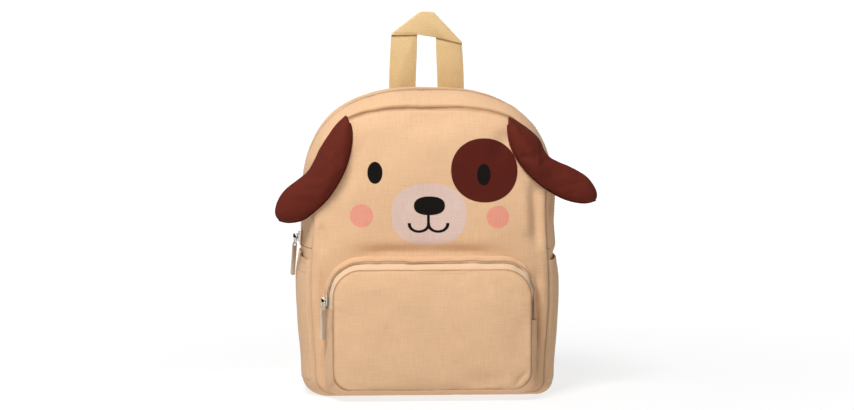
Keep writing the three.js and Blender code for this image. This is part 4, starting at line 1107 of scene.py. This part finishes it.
def pocket_sides(cloth):
    seam, edge = POCKET_SEAM_Y, POCKET_STRIP_Y
    strip = [(y, 0.0) for y in np.linspace(-2.0, edge + 0.8, 14)]
    strip += [(edge, -0.2), (edge - 0.2, -0.8), (edge + 0.3, -1.8)]
    wall = [(y, 0.0) for y in np.linspace(-2.0, seam + 0.6, 24)]
    wall += [(seam + 0.1, -0.3), (seam, -1.0), (seam + 0.8, -2.2)]
    tape = [(y, -0.7) for y in np.linspace(edge + 1.0, seam + 0.8, 14)]
    tape += [(seam + 0.2, -1.3), (seam + 1.6, -2.8), (seam + 2.4, -4.4)]
    pocket_wall("strip_above_pocket_zip", "pocket_zip_strip", strip, cloth, 61, "sand",
                "cloth_sand", stitched=11)
    pocket_wall("wall_under_pocket", "pocket_gusset", wall, cloth, 64, "sand", "cloth_sand",
                over_top=False)
    pocket_wall("pocket_zip_tape", "pocket_zipper_tape", tape, cloth, 61, "tape", "tape_cream",
                thickness=0.7, stitched=11)
    line = [(POCKET_COIL_Y + 1.3, 0.1)]
    grid = strip_grid(pocket_points, line, *POCKET_ZIP_ENDS, 600, True, POCKET_SAMPLES)[0]
    outward = grid[0] - POCKET_MIDDLE
    outward[:, 1] = 0
    outward /= np.linalg.norm(outward, axis=1, keepdims=True)
    build = Build()
    zip_teeth(build, grid[0], outward, pitch=1.2, reach=2.2, radius=0.56)
    build.make("pocket_zip_coil", ("coil",), "coil_grey", ["pocket_zipper_coil"])


# Ears

LEFT_EAR = dict(
    outer=((-82.2, 278.5), (-92.6, 269.2), (-101.6, 257.2), (-109.6, 244.8), (-113.4, 237),
           (-121, 223.6), (-131.4, 215.2), (-142.6, 206.4), (-149.2, 197.4), (-152.6, 187),
           (-152.2, 180.2), (-148.7, 175.6)),
    inner=((-81.8, 278.3), (-77.8, 267.2), (-77, 257), (-79.3, 240.4), (-84.8, 223.2),
           (-93.3, 207.4), (-101.2, 196.2), (-113.6, 184), (-123.7, 176.4), (-131, 174),
           (-141.6, 173.4), (-148.7, 175.6)),
)
RIGHT_EAR = dict(
    outer=((77.0, 277.0), (92, 268.4), (103, 260.2), (110, 252), (112.8, 244.4), (118, 237.2),
           (123.8, 233.9), (137.3, 228), (147.6, 222.8), (154.8, 217.8), (160.2, 211.2),
           (164.1, 203.8), (165, 198), (163.4, 194)),
    inner=((76.7, 276.6), (76, 262.8), (77.4, 252.3), (81.6, 240.8), (88.4, 229.8), (97.2, 219.4),
           (106.2, 211), (115.8, 204.2), (126.2, 198), (136.6, 193.8), (148.8, 191.4), (157, 191.8),
           (163.4, 194)),
)
EAR_THICKNESS = 17.0
EAR_ROWS = 34
EAR_COLUMNS = 13


def smooth_line(points, count):
    """Evenly spaced points on a smooth curve through the given ones."""
    points = np.array(points, float)
    first, last = 2 * points[0] - points[1], 2 * points[-1] - points[-2]
    knots = np.concatenate([[first], points, [last]])
    fine = []
    for k in range(1, len(knots) - 2):
        p0, p1, p2, p3 = knots[k - 1:k + 3]
        spans = (p1 - p0, p2 - p1, p3 - p2)
        a, b, c = (max(1e-6, np.linalg.norm(span)) ** 0.5 for span in spans)
        start = ((p1 - p0) / a - (p2 - p0) / (a + b) + (p2 - p1) / b) * b
        end = ((p2 - p1) / b - (p3 - p1) / (b + c) + (p3 - p2) / c) * b
        t = np.linspace(0, 1, 40, endpoint=k == len(knots) - 3)[:, None]
        fine.append(p1 + start * t + (-3 * p1 + 3 * p2 - 2 * start - end) * t**2
                    + (2 * p1 - 2 * p2 + start + end) * t**3)
    fine = np.concatenate(fine)
    along = distances(fine)
    wanted = np.linspace(0, along[-1], count)
    return np.stack([np.interp(wanted, along, fine[:, k]) for k in range(fine.shape[1])], axis=-1)


def ear_forms(ear):
    """The front and back faces of a stuffed ear, as grids that share their border."""
    outer = smooth_line(ear["outer"], EAR_ROWS)
    inner = smooth_line(ear["inner"], EAR_ROWS)
    share = np.linspace(0, 1, EAR_COLUMNS)
    flat = outer[:, None] * (1 - share[None, :, None]) + inner[:, None] * share[None, :, None]
    width = np.linalg.norm(outer - inner, axis=1)
    loft = EAR_THICKNESS * np.sqrt(width / width.max())[:, None]
    crown = (4 * share * (1 - share))[None, :] ** 0.5
    behind = face_depth(flat[..., 0], flat[..., 1]) - 0.8
    reach = np.abs(flat[..., 0]) - 112
    behind = np.where(reach > 0, np.minimum(behind, 4.0), behind)
    middle = np.minimum(behind - 0.36 * loft * crown, -3.0 - 0.04 * loft)
    droop = lerp(-1.0, -5.0, np.linspace(0, 1, EAR_ROWS))[:, None]
    rim = np.minimum(behind[:, [0, -1]] - 0.6, droop)
    middle = middle * crown + (rim[:, :1] * (1 - share) + rim[:, 1:] * share) * (1 - crown)
    front = middle - loft * crown * 0.56
    back = np.minimum(middle + loft * crown * 0.44, np.maximum(behind, rim.min()))
    place = lambda y: np.stack([flat[..., 0], settled(y), flat[..., 1]], axis=-1)
    return place(front), place(back)


def settled(height, rounds=10):
    """A grid of heights with its inner ones drawn towards their neighbours."""
    for _ in range(rounds):
        near = (height[:-2, 1:-1] + height[2:, 1:-1] + height[1:-1, :-2] + height[1:-1, 2:]) / 4
        height = height.copy()
        height[1:-1, 1:-1] = lerp(height[1:-1, 1:-1], near, 0.5)
    return height


def closed_ear(front, back):
    """One closed mesh of the two faces: the front's corners first, then the back's inner ones."""
    rows, columns = front.shape[:2]
    number = np.arange(rows * columns).reshape(rows, columns)
    inside = np.zeros((rows, columns), bool)
    inside[1:-1, 1:-1] = True
    reverse = number.copy()
    reverse[inside] = rows * columns + np.arange(inside.sum())
    corners = np.concatenate([front.reshape(-1, 3), back[inside]])
    faces = grid_faces(rows, columns)
    faces += [(reverse[i, j], reverse[i + 1, j], reverse[i + 1, j + 1], reverse[i, j + 1])
              for i in range(rows - 1) for j in range(columns - 1)]
    return corners, [[int(k) for k in face] for face in faces], number, reverse


def puff(corners, faces, pinned, pressure, frames, cap, grow):
    """Inflates a closed mesh as cloth under pressure. Its corners move by at most cap mm."""
    mesh = bpy.data.meshes.new("puff")
    mesh.from_pydata(corners * MM, [], faces)
    face_outward(mesh)
    body = linked("puff", mesh)
    held = body.vertex_groups.new(name="held")
    held.add([int(k) for k in pinned], 1.0, "REPLACE")
    cloth = body.modifiers.new("cloth", "CLOTH")
    settings = cloth.settings
    settings.quality = 6
    settings.mass = 0.15
    settings.tension_stiffness = 22
    settings.compression_stiffness = 12
    settings.bending_stiffness = 0.25
    settings.shrink_min = -grow
    settings.shrink_max = -grow
    settings.use_pressure = True
    settings.uniform_pressure_force = pressure
    settings.vertex_group_mass = "held"
    settings.effector_weights.gravity = 0
    cloth.point_cache.frame_start, cloth.point_cache.frame_end = 1, frames
    scene = bpy.context.scene
    for number in range(1, frames + 1):
        scene.frame_set(number)
    after = body.evaluated_get(bpy.context.evaluated_depsgraph_get()).to_mesh()
    moved = np.empty(len(corners) * 3)
    after.vertices.foreach_get("co", moved)
    scene.frame_set(1)
    bpy.data.objects.remove(body)
    move = moved.reshape(-1, 3) / MM - corners
    size = np.linalg.norm(move, axis=1, keepdims=True)
    return corners + move * np.minimum(1, cap / np.maximum(size, 1e-6))


def ear(ear_lines, name, node):
    front, back = ear_forms(ear_lines)
    corners, faces, number, reverse = closed_ear(front, back)
    sewn = [number[:EAR_ROWS // 3, :2], number[:2], reverse[:2], number[:, 0], number[:, -1]]
    sewn = {int(k) for part in sewn for k in part.ravel()}
    corners = puff(corners, faces, sorted(sewn), 2.4, 14, 4.0, 0.018)
    rest = face_depth(corners[:, 0], corners[:, 2]) - 0.6
    over = np.abs(corners[:, 0]) < 116
    corners[:, 1] = np.where(over, np.minimum(corners[:, 1], rest), corners[:, 1])
    slant = on_cloth((corners[:, 0] + corners[:, 2]) * 0.7, (corners[:, 2] - corners[:, 0]) * 0.7)
    build = Build().add(corners, faces, slant)
    piece = build.make(name, ("brown",), "cloth_brown", [node], crease_angle=180)
    smooth = piece.modifiers.new("smooth", "SUBSURF")
    smooth.levels = smooth.render_levels = 2
    apply_modifiers(piece)
    lower = corners[number[2:, -1]] + np.array([0.0, 0.4, 0.0])
    bead, bead_faces = sweep(smooth_line(lower, 160), circle(8) * 0.95)
    roll = Build().add(bead, bead_faces, on_cloth(bead[:, 0], bead[:, 2]))
    roll.make(name + "_seam", ("brown",), "cloth_brown")


def apply_modifiers(piece):
    depsgraph = bpy.context.evaluated_depsgraph_get()
    after = bpy.data.meshes.new_from_object(piece.evaluated_get(depsgraph))
    before = piece.data
    piece.modifiers.clear()
    piece.data = after
    bpy.data.meshes.remove(before)


# Webbing, straps and hardware

WEBBING_WIDTH = 26.5
WEBBING = 2.0
HANDLE_CENTRE = 2.5
HANDLE_TOP = 379.0
HANDLE_UNDERSIDE = HANDLE_TOP - 23.2
HANDLE_Y = BAG_DEPTH - GAP


def flat_plate(points, y_front, thickness):
    """A flat cloth plate drawn in the picture plane, with a softened border."""
    points = np.array(points, float)
    edge = []
    for a, b in zip(points, np.roll(points, -1, axis=0)):
        count = max(2, int(np.linalg.norm(b - a) / 1.6))
        edge += [a + (b - a) * k / count for k in range(count)]
    edge = np.array(edge)
    way = edge - edge.mean(axis=0)
    way /= np.linalg.norm(way, axis=1, keepdims=True)
    rings = []
    for out, through in ((-0.8, 0.0), (-0.2, 0.12), (0.0, 0.5), (-0.2, 0.88), (-0.8, 1.0)):
        place = edge + way * out
        depth = np.full(len(edge), y_front + thickness * through)
        rings.append(np.stack([place[:, 0], depth, place[:, 1]], axis=-1))
    return np.array(rings).reshape(-1, 3), tube_faces(len(rings), len(edge))


def grab_handle():
    build = Build()
    low, wide = HANDLE_UNDERSIDE, WEBBING_WIDTH
    left, right = HANDLE_CENTRE - 9.5, HANDLE_CENTRE + 9.5
    share = np.linspace(0, 1, 24)
    for side, rise_in, rise_out in ((-1, 1.5, -0.5), (1, -1.5, -8.2)):
        inner = HANDLE_CENTRE + side * lerp(11.25, 9.5, ease(share))
        outer = inner + side * (wide + 0.7 * np.sin(math.pi * share))
        up_in = lerp(292.0, low + rise_in, share)
        up_out = lerp(292.0, low + rise_out, share)
        border = list(zip(inner, up_in)) + list(zip(outer[::-1], up_out[::-1]))
        corners, faces = flat_plate(border, HANDLE_Y + 0.1, WEBBING)
        build.add(corners, faces, on_cloth(corners[:, 2], corners[:, 0] - HANDLE_CENTRE))
    fold = (
        (left - wide, low - 0.3), (left, low), (right, low - 3.0), (right + wide, low - 9.0),
        (HANDLE_CENTRE + 5.5, HANDLE_TOP), (HANDLE_CENTRE - 5.5, HANDLE_TOP),
    )
    corners, faces = flat_plate(fold, HANDLE_Y - WEBBING + 0.1, WEBBING)
    build.add(corners, faces, on_cloth(corners[:, 0], corners[:, 2]))
    turns = (
        ((left - wide + 0.8, low), (HANDLE_CENTRE - 6.3, HANDLE_TOP - 1.2)),
        ((HANDLE_CENTRE + 6.3, HANDLE_TOP - 1.2), (right + wide - 0.8, low - 8.6)),
    )
    for a, b in turns:
        line = np.linspace((a[0], HANDLE_Y + 0.6, a[1]), (b[0], HANDLE_Y + 0.6, b[1]), 24)
        rod, rod_faces = sweep(line, circle(10) * (1.25, 2.0), (b[1] - a[1], 0, a[0] - b[0]))
        build.add(rod, rod_faces, on_cloth(rod[:, 0], rod[:, 2]))
    seam = HANDLE_Y - WEBBING + 0.05
    line = np.linspace((left - wide + 3, seam, low + 2.0), (left, seam, low + 2.0), 20)
    stitch_row(build, line, (0, -1, 0), 2.6)
    return build.make("top_handle", ("webbing", "thread"), "webbing_straw", ["grab_handle"])


STRAP = dict(width=48.0, end_width=27.0, pad=9.0, top_height=284.0, top_spread=38.0, end_height=108.0,
             end_spread=74.0, end_reach=30.0, bow=52.0, lap=22.0, seat=3.0, webbing=20.0, tail=52.0)
LOCK_THICKNESS, LOCK_BAR, LOCK_SLOT = 3.0, 3.2, 7.0
FOLD_ROOM = LOCK_THICKNESS + 2 * GAP
FOLD_RISE = LOCK_BAR / 2 + GAP - math.sqrt(FOLD_ROOM**2 - LOCK_THICKNESS**2) / 2
LOCK_PITCH = LOCK_BAR + LOCK_SLOT
LOOP_LAP = 12.0
TAB = dict(height=24.0, spread=92.0, width=30.0, drop=10.0, rise=14.0, cloth=2.0)
BACK_FACE = BAG_DEPTH + BACK_PAD


class LowerFrame:
    """The line from a strap's tab up to the padded strap's end: across, outward and up."""

    def __init__(self, side):
        spread, reach = STRAP["end_spread"], STRAP["end_reach"]
        self.end = np.array([side * spread, BACK_FACE + reach, STRAP["end_height"]])
        reach = FOLD_ROOM / 2 + WEBBING + TAB["cloth"]
        self.tab = np.array([side * TAB["spread"], BACK_FACE + reach, TAB["height"]])
        self.length = float(np.linalg.norm(self.end - self.tab))
        self.up = (self.end - self.tab) / self.length
        across = np.array([1.0, 0, 0]) - self.up * self.up[0]
        self.across = across / np.linalg.norm(across)
        self.outward = np.cross(self.up, self.across)

    def place(self, points):
        """Points drawn as (across, outward, up) from the tab."""
        points = np.asarray(points, float)
        across, outward, up = points[..., :1], points[..., 1:2], points[..., 2:]
        return self.tab + across * self.across + outward * self.outward + up * self.up


def strap_path(side, lower):
    drop = STRAP["top_height"] - STRAP["end_height"]
    lap = BACK_FACE + GAP + STRAP["pad"] / 2

    def at(down, out):
        across = lerp(STRAP["top_spread"], STRAP["end_spread"], down**1.5)
        return (side * across, lap + out, STRAP["top_height"] - down * drop)

    seat, bow = STRAP["seat"], STRAP["bow"]
    points = [at(0, -seat), at(STRAP["lap"] / drop, -seat / 2), at(0.3, bow * 0.55), at(0.5, bow * 0.95),
              tuple(lower.end + lower.up * LOOP_LAP * 3), tuple(lower.end + lower.up * LOOP_LAP)]
    return smooth_line(points, 90)


def padded_strap(side, name, node, cloth):
    lower = LowerFrame(side)
    path = strap_path(side, lower)
    path = np.concatenate([path, np.linspace(path[-1], lower.end, 8)[1:]])
    count = len(path)
    share = np.linspace(0, 1, count)
    ahead = np.gradient(path, axis=0)
    ahead /= np.linalg.norm(ahead, axis=1, keepdims=True)
    across = np.array([1.0, 0, 0]) - ahead * ahead[:, :1]
    across /= np.linalg.norm(across, axis=1, keepdims=True)
    outward = np.cross(across, ahead)
    half = lerp(STRAP["width"], STRAP["end_width"], ease(share, 0.6, 0.94)) / 2
    half = lerp(half, STRAP["webbing"] / 2 + 1.5, ease(share, 0.9, 0.97))
    pad = lerp(STRAP["pad"], LOCK_THICKNESS - 0.6, ease(share, 0.86, 0.97)) / 2
    pad = pad * lerp(0.55, 1.0, ease(share, 0.0, 0.08))
    columns = 15
    spots = np.sin(np.linspace(-math.pi / 2, math.pi / 2, columns))
    faces_of = []
    for turn in (1, -1):
        crown = pad[:, None] * (1 - 0.72 * np.abs(spots[None, :]) ** 3.4)
        place = path[:, None] + across[:, None] * (half[:, None] * spots)[..., None]
        wave = 1 + 0.10 * rumple(place, 14, 71 + turn) + 0.05 * rumple(place, 6, 73)
        faces_of.append(place + outward[:, None] * (turn * crown * wave)[..., None])
    ring = np.concatenate([faces_of[0], faces_of[1][:, ::-1]], axis=1)
    faces = tube_faces(count, 2 * columns)
    along = distances(path)
    spread = np.concatenate([spots, spots[::-1]])[None, :] * half[:, None]
    build = Build().add(ring, faces, on_cloth(spread, along[:, None]))
    binding = circle(12) * (2.3, 2.1)
    for edge in (-1, 1):
        rim = (half * edge * 0.985)[:, None]
        tube, faces = sweep((path + across * rim)[1:], binding, outward[1:])
        build.add(tube, faces, on_cloth(along[1:, None], np.arange(12)[None, :]), finish=2)
        row = path + across * (rim - edge * 3.2) + outward * (pad * 0.75)[:, None]
        stitch_row(build, row[3:-6], outward[3:-6], cloth.stitch_pitch)
    piece = build.make(name, ("sand", "thread", "webbing"), "cloth_sand", [node])


def folded_band(build, lower, bar_height, outer_leg, bag_leg, width, turned=False):
    """Webbing folded over a bar of the ladder lock, its two legs running down from the turn."""
    middle = FOLD_ROOM / 2 + WEBBING / 2
    sign = -1 if turned else 1
    path = [(middle, -outer_leg * k / 12) for k in range(12, 0, -1)]
    path += [(middle * math.cos(t), middle * math.sin(t)) for t in np.linspace(0, math.pi, 16)]
    path += [(-middle, -bag_leg * k / 12) for k in range(1, 13)]
    path = np.array(path)
    local = np.stack([0 * path[:, 0], sign * path[:, 0], bar_height + sign * path[:, 1]], axis=-1)
    world = lower.place(local)
    corners, faces = sweep(world, band_section(width, WEBBING * 0.92), lower.across)
    across = band_section(width, WEBBING)[None, :, 0]
    build.add(corners, faces, on_cloth(distances(world)[:, None], across))


def strap_ends(side, name):
    lower = LowerFrame(side)
    width, cloth = STRAP["webbing"], TAB["cloth"]
    top_bar = lower.length - FOLD_ROOM / 2 - WEBBING
    bar = top_bar - LOCK_PITCH + FOLD_RISE
    leg = lower.length + LOOP_LAP - top_bar + FOLD_RISE
    loop = Build()
    folded_band(loop, lower, top_bar - FOLD_RISE, leg, leg, width, turned=True)
    out = FOLD_ROOM / 2 + WEBBING
    for up in (lower.length + 2.5, lower.length + LOOP_LAP - 2.5):
        line = lower.place(np.linspace((-8.5, out, up), (8.5, out, up), 12))
        stitch_row(loop, line, lower.outward, 2.4)
    loop.make("lock_loop_" + name, ("webbing", "thread"), "webbing_straw", ["strap_loop_" + name])
    band = Build()
    folded_band(band, lower, bar, STRAP["tail"], bar + TAB["drop"] / 2, width)
    band.make("strap_band_" + name, ("webbing", "thread"), "webbing_straw",
              ["strap_webbing_" + name])
    low = -FOLD_ROOM / 2 - WEBBING - GAP - cloth
    wide, narrow = TAB["width"] / 2, width / 2 + CLOTH
    rows = []
    for up in np.linspace(-TAB["drop"], TAB["rise"], 14):
        half = lerp(wide, narrow, (up + TAB["drop"]) / (TAB["rise"] + TAB["drop"]))
        rows.append([(a, low + cloth / 2, up) for a in np.linspace(-half, half, 10)])
    rows = np.array(rows)
    outer = lower.place(rows) + lower.outward * cloth / 2
    tab = Build().wall(outer, cloth, on_cloth(rows[..., 0], rows[..., 2]))
    for edge in (-1, 1):
        start = (edge * (wide - 2), low + cloth, 1 - TAB["drop"])
        end = (edge * (narrow - 2), low + cloth, TAB["rise"] - 1)
        stitch_row(tab, lower.place(np.linspace(start, end, 16)), lower.outward, 2.4)
    tab.make("lower_tab_" + name, ("sand", "thread"), "cloth_sand", ["strap_tab_" + name])


def softened(node, name, finish, bevel, levels=0):
    """A hard part: the solid's own form with its edges rounded."""
    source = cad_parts[node]
    mesh = source.data.copy()
    mesh.name = name
    mesh.materials.clear()
    mesh.materials.append(FINISHES[finish])
    mesh.polygons.foreach_set("material_index", [0] * len(mesh.polygons))
    work = bmesh.new()
    work.from_mesh(mesh)
    bmesh.ops.remove_doubles(work, verts=work.verts, dist=1e-6)
    bmesh.ops.dissolve_limit(work, angle_limit=math.radians(2), verts=work.verts, edges=work.edges)
    work.to_mesh(mesh)
    work.free()
    piece = linked(name, mesh)
    if bevel:
        rounding = piece.modifiers.new("rounding", "BEVEL")
        rounding.width = bevel * MM
        rounding.segments = 3
        rounding.limit_method = "ANGLE"
        rounding.angle_limit = math.radians(35)
    if levels:
        smooth = piece.modifiers.new("smooth", "SUBSURF")
        smooth.levels = smooth.render_levels = levels
    apply_modifiers(piece)
    piece.data.shade_smooth()
    piece.data.set_sharp_from_angle(angle=math.radians(40 if not levels else 80))
    return seated(piece, [node])


def hardware():
    for zip_name in ("main_zip", "pocket_zip"):
        softened(zip_name + "_slider", zip_name + "_slider_body", "nickel", 0.45)
        softened(zip_name + "_ring", zip_name + "_jump_ring", "nickel", 0, 2)
        softened(zip_name + "_pull", zip_name + "_pull_bar", "nickel", 0.5)
    for side in ("left", "right"):
        softened("strap_adjuster_" + side, "ladder_lock_" + side, "plastic", 0.7)


# Stage


def stage(light):
    work = bmesh.new()
    profile = [(-2.6, 0.0), (2.2, 0.0), (2.9, 0.12), (3.4, 0.5), (3.6, 1.2), (3.6, 4.0)]
    rows = [[work.verts.new((x, y, z)) for x in np.linspace(-5, 5, 5)] for y, z in profile]
    for a, b in zip(rows, rows[1:]):
        for k in range(len(a) - 1):
            work.faces.new((a[k], a[k + 1], b[k + 1], b[k]))
    mesh = bpy.data.meshes.new("studio_floor")
    work.to_mesh(mesh)
    work.free()
    mesh.shade_smooth()
    finish = Finish("white paper")
    place = finish.inside()
    tone = finish.noise(place, 3.0)
    away = finish.add("VectorMath", {"operation": "LENGTH"}, {0: place}, "Value")
    glow = 0.76 + ((away - 0.3) / 1.1).clamped() * 0.21
    sheet = finish.shade((0.2, 0.2, 0.2, 1), 0.99 + tone * 0.01)
    white = finish.shade((1, 1, 1, 1), glow)
    mesh.materials.append(finish.done(sheet, 0.9, Emission_Color=white, Emission_Strength=light.paper))
    linked("studio_floor", mesh)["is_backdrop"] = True
    world = bpy.data.worlds.new("studio")
    world.use_nodes = True
    background = world.node_tree.nodes["Background"].inputs
    background["Color"].default_value = (1, 1, 1, 1)
    background["Strength"].default_value = light.ambient
    bpy.context.scene.world = world
    aim = Vector((0, 0, 0.17))
    lamps = (
        ("key", (-0.42, -0.93, 1.44), 0.55, light.key),
        ("fill", (1.9, -1.9, 0.7), 1.4, light.fill),
        ("top", (-0.5, 0.3, 2.2), 1.0, light.top),
    )
    for name, place, size, power in lamps:
        lamp = bpy.data.lights.new(name, "AREA")
        lamp.energy, lamp.size = power, size
        made = linked(name, lamp)
        made.location = place
        made.rotation_euler = (aim - Vector(place)).to_track_quat("-Z", "Y").to_euler()
    bpy.context.scene.view_settings.view_transform = "Standard"
    bpy.context.scene.view_settings.look = "None"


CAMERA_AZIMUTH = -3.5
CAMERA_ELEVATION = 4.0
CAMERA_DISTANCE = 2.8
CAMERA_TARGET = (0.0, 48.0, 186.0)


def camera(light):
    turn, rise = math.radians(CAMERA_AZIMUTH), math.radians(CAMERA_ELEVATION)
    level = math.cos(rise)
    back = Vector((math.sin(turn) * level, -math.cos(turn) * level, math.sin(rise)))
    target = Vector((np.array(CAMERA_TARGET) + ORIGIN) * MM)
    lens = bpy.data.cameras.new("camera")
    lens.lens, lens.sensor_width = light.lens, 36.0
    made = linked("camera", lens)
    made.location = target + back * CAMERA_DISTANCE
    made.rotation_euler = (target - made.location).to_track_quat("-Z", "Y").to_euler()
    bpy.context.scene.camera = made


# The add-on


def colour_property(name, description, hexed):
    return FloatVectorProperty(name=name, description=description, subtype="COLOR", size=3, min=0, max=1,
                               default=linear(hexed)[:3])


class BackpackLook(bpy.types.PropertyGroup):
    sand: colour_property("Sand cloth", "Colour of the bag's cloth", "#dfb68f")
    brown: colour_property("Ear cloth", "Colour of the ears", "#61251a")
    webbing: colour_property("Webbing", "Colour of the handle and strap webbing", "#e9c893")
    tape: colour_property("Zip tape", "Colour of the zip tapes", "#ecc9a4")
    coil: colour_property("Zip coil", "Colour of the zip coils", "#b99f83")
    nickel: colour_property("Nickel", "Colour of sliders, rings and pulls", "#d9d4c9")
    plastic: colour_property("Buckle plastic", "Colour of the ladder locks", "#d9b887")
    muzzle: colour_property("Muzzle print", "Colour of the printed muzzle", "#d8bcaf")
    cheek: colour_property("Cheek print", "Colour of the printed cheeks", "#e39882")
    patch: colour_property("Eye patch print", "Colour of the printed patch", "#541b11")
    ink: colour_property("Black print", "Colour of the eyes, nose and mouth", "#100b08")
    weave_pitch: FloatProperty(name="Weave pitch", description="Width of one pair of yarns, in millimetres",
                               default=0.9, min=0.3, max=4)
    # Strength of the shade painted into the cloth along its seams.
    seam_shade: FloatProperty(name="Seam shade", description="How much darker seams are than cloth",
                              default=0.8, min=0, max=1)
    yarn_contrast: FloatProperty(name="Yarn contrast", description="How much single yarns differ in lightness",
                                 default=0.34, min=0, max=1)


class BackpackCloth(bpy.types.PropertyGroup):
    rumple: FloatProperty(name="Rumple", description="Depth of the cloth's soft unevenness, in millimetres",
                          default=1.5, min=0, max=4)
    pucker: FloatProperty(name="Pucker", description="Depth of the puckers beside the seams, in millimetres",
                          default=1.4, min=0, max=4)
    stitch_pitch: FloatProperty(name="Stitch pitch", description="Length of one stitch, in millimetres",
                                default=3.2, min=1.5, max=6)


class BackpackLight(bpy.types.PropertyGroup):
    key: FloatProperty(name="Key light", description="Power of the main lamp",
                       default=29, min=0, unit="POWER")
    fill: FloatProperty(name="Fill light", description="Power of the lamp on the right",
                        default=0.4, min=0, unit="POWER")
    top: FloatProperty(name="Top light", description="Power of the lamp overhead",
                       default=3, min=0, unit="POWER")
    ambient: FloatProperty(name="Ambient", description="Strength of the white surroundings",
                           default=0.07, min=0)
    paper: FloatProperty(name="Paper glow", description="How white the lit paper is",
                         default=1.0, min=0)
    lens: FloatProperty(name="Lens", description="Focal length of the camera",
                        default=118.0, min=10, unit="CAMERA")


class BACKPACK_OT_finishes(bpy.types.Operator):
    """Make the cloth, webbing, zip and metal finishes"""

    bl_idname = "backpack.finishes"
    bl_label = "Make finishes"

    def execute(self, context):
        make_finishes(context.scene.backpack_look)
        return {"FINISHED"}


class BACKPACK_OT_body(bpy.types.Operator):
    """Sew the face panel, gussets and back pad"""

    bl_idname = "backpack.body"
    bl_label = "Sew body"

    def execute(self, context):
        cloth = context.scene.backpack_cloth
        front_panel(cloth)
        top_gussets(cloth)
        base_gusset(cloth)
        back_panel(cloth)
        return {"FINISHED"}


class BACKPACK_OT_main_zip(bpy.types.Operator):
    """Lay the main zip over the top"""

    bl_idname = "backpack.main_zip"
    bl_label = "Lay main zip"

    def execute(self, context):
        main_zip()
        return {"FINISHED"}


class BACKPACK_OT_slip_pockets(bpy.types.Operator):
    """Sew the two slip pockets on the sides"""

    bl_idname = "backpack.slip_pockets"
    bl_label = "Sew slip pockets"

    def execute(self, context):
        cloth = context.scene.backpack_cloth
        for side, name in ((-1, "left"), (1, "right")):
            slip_pocket(side, "slip_pocket_" + name, "side_pocket_" + name, cloth)
        return {"FINISHED"}


class BACKPACK_OT_front_pocket(bpy.types.Operator):
    """Sew the zipped pocket on the face"""

    bl_idname = "backpack.front_pocket"
    bl_label = "Sew front pocket"

    def execute(self, context):
        pocket_face(context.scene.backpack_cloth)
        pocket_sides(context.scene.backpack_cloth)
        return {"FINISHED"}


class BACKPACK_OT_ears(bpy.types.Operator):
    """Stuff the two ears and sew their edges"""

    bl_idname = "backpack.ears"
    bl_label = "Stuff ears"

    def execute(self, context):
        ear(LEFT_EAR, "stuffed_ear_left", "ear_left")
        ear(RIGHT_EAR, "stuffed_ear_right", "ear_right")
        return {"FINISHED"}


class BACKPACK_OT_handle(bpy.types.Operator):
    """Fold the webbing of the grab handle"""

    bl_idname = "backpack.handle"
    bl_label = "Fold handle"

    def execute(self, context):
        grab_handle()
        return {"FINISHED"}


class BACKPACK_OT_straps(bpy.types.Operator):
    """Pad the shoulder straps and thread their webbing"""

    bl_idname = "backpack.straps"
    bl_label = "Pad straps"

    def execute(self, context):
        cloth = context.scene.backpack_cloth
        for side, name in ((-1, "left"), (1, "right")):
            padded_strap(side, "padded_strap_" + name, "shoulder_strap_" + name, cloth)
            strap_ends(side, name)
        return {"FINISHED"}


class BACKPACK_OT_hardware(bpy.types.Operator):
    """Round off the sliders, rings, pulls and ladder locks"""

    bl_idname = "backpack.hardware"
    bl_label = "Fit hardware"

    def execute(self, context):
        hardware()
        return {"FINISHED"}


class BACKPACK_OT_stage(bpy.types.Operator):
    """Set the floor, the lamps and the camera"""

    bl_idname = "backpack.stage"
    bl_label = "Set stage"

    def execute(self, context):
        stage(context.scene.backpack_light)
        camera(context.scene.backpack_light)
        return {"FINISHED"}


STEPS = (
    BACKPACK_OT_finishes,
    BACKPACK_OT_body,
    BACKPACK_OT_main_zip,
    BACKPACK_OT_slip_pockets,
    BACKPACK_OT_front_pocket,
    BACKPACK_OT_ears,
    BACKPACK_OT_handle,
    BACKPACK_OT_straps,
    BACKPACK_OT_hardware,
    BACKPACK_OT_stage,
)


class BACKPACK_PT_panel(bpy.types.Panel):
    """The backpack's steps and settings"""

    bl_idname = "BACKPACK_PT_panel"
    bl_label = "Puppy backpack"
    bl_space_type = "VIEW_3D"
    bl_region_type = "UI"
    bl_category = "Backpack"

    def draw(self, context):
        scene = context.scene
        for group in (scene.backpack_look, scene.backpack_cloth, scene.backpack_light):
            box = self.layout.box()
            for key in group.bl_rna.properties.keys():
                if key not in ("rna_type", "name"):
                    box.prop(group, key)
        for step in STEPS:
            self.layout.operator(step.bl_idname)


GROUPS = (
    ("backpack_look", BackpackLook),
    ("backpack_cloth", BackpackCloth),
    ("backpack_light", BackpackLight),
)


def register():
    for _, group in GROUPS:
        bpy.utils.register_class(group)
    for step in STEPS:
        bpy.utils.register_class(step)
    bpy.utils.register_class(BACKPACK_PT_panel)
    for name, group in GROUPS:
        setattr(bpy.types.Scene, name, PointerProperty(type=group))


def unregister():
    for name, _ in GROUPS:
        delattr(bpy.types.Scene, name)
    bpy.utils.unregister_class(BACKPACK_PT_panel)
    for step in reversed(STEPS):
        bpy.utils.unregister_class(step)
    for _, group in reversed(GROUPS):
        bpy.utils.unregister_class(group)


def main():
    register()
    for step in STEPS:
        category, name = step.bl_idname.split(".")
        getattr(getattr(bpy.ops, category), name)()
    boxes = {"cad": SOLID_BOX, "visual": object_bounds()}
    plain = {key: [[float(v) for v in corner] for corner in box] for key, box in boxes.items()}


if __name__ == "__main__":
    main()
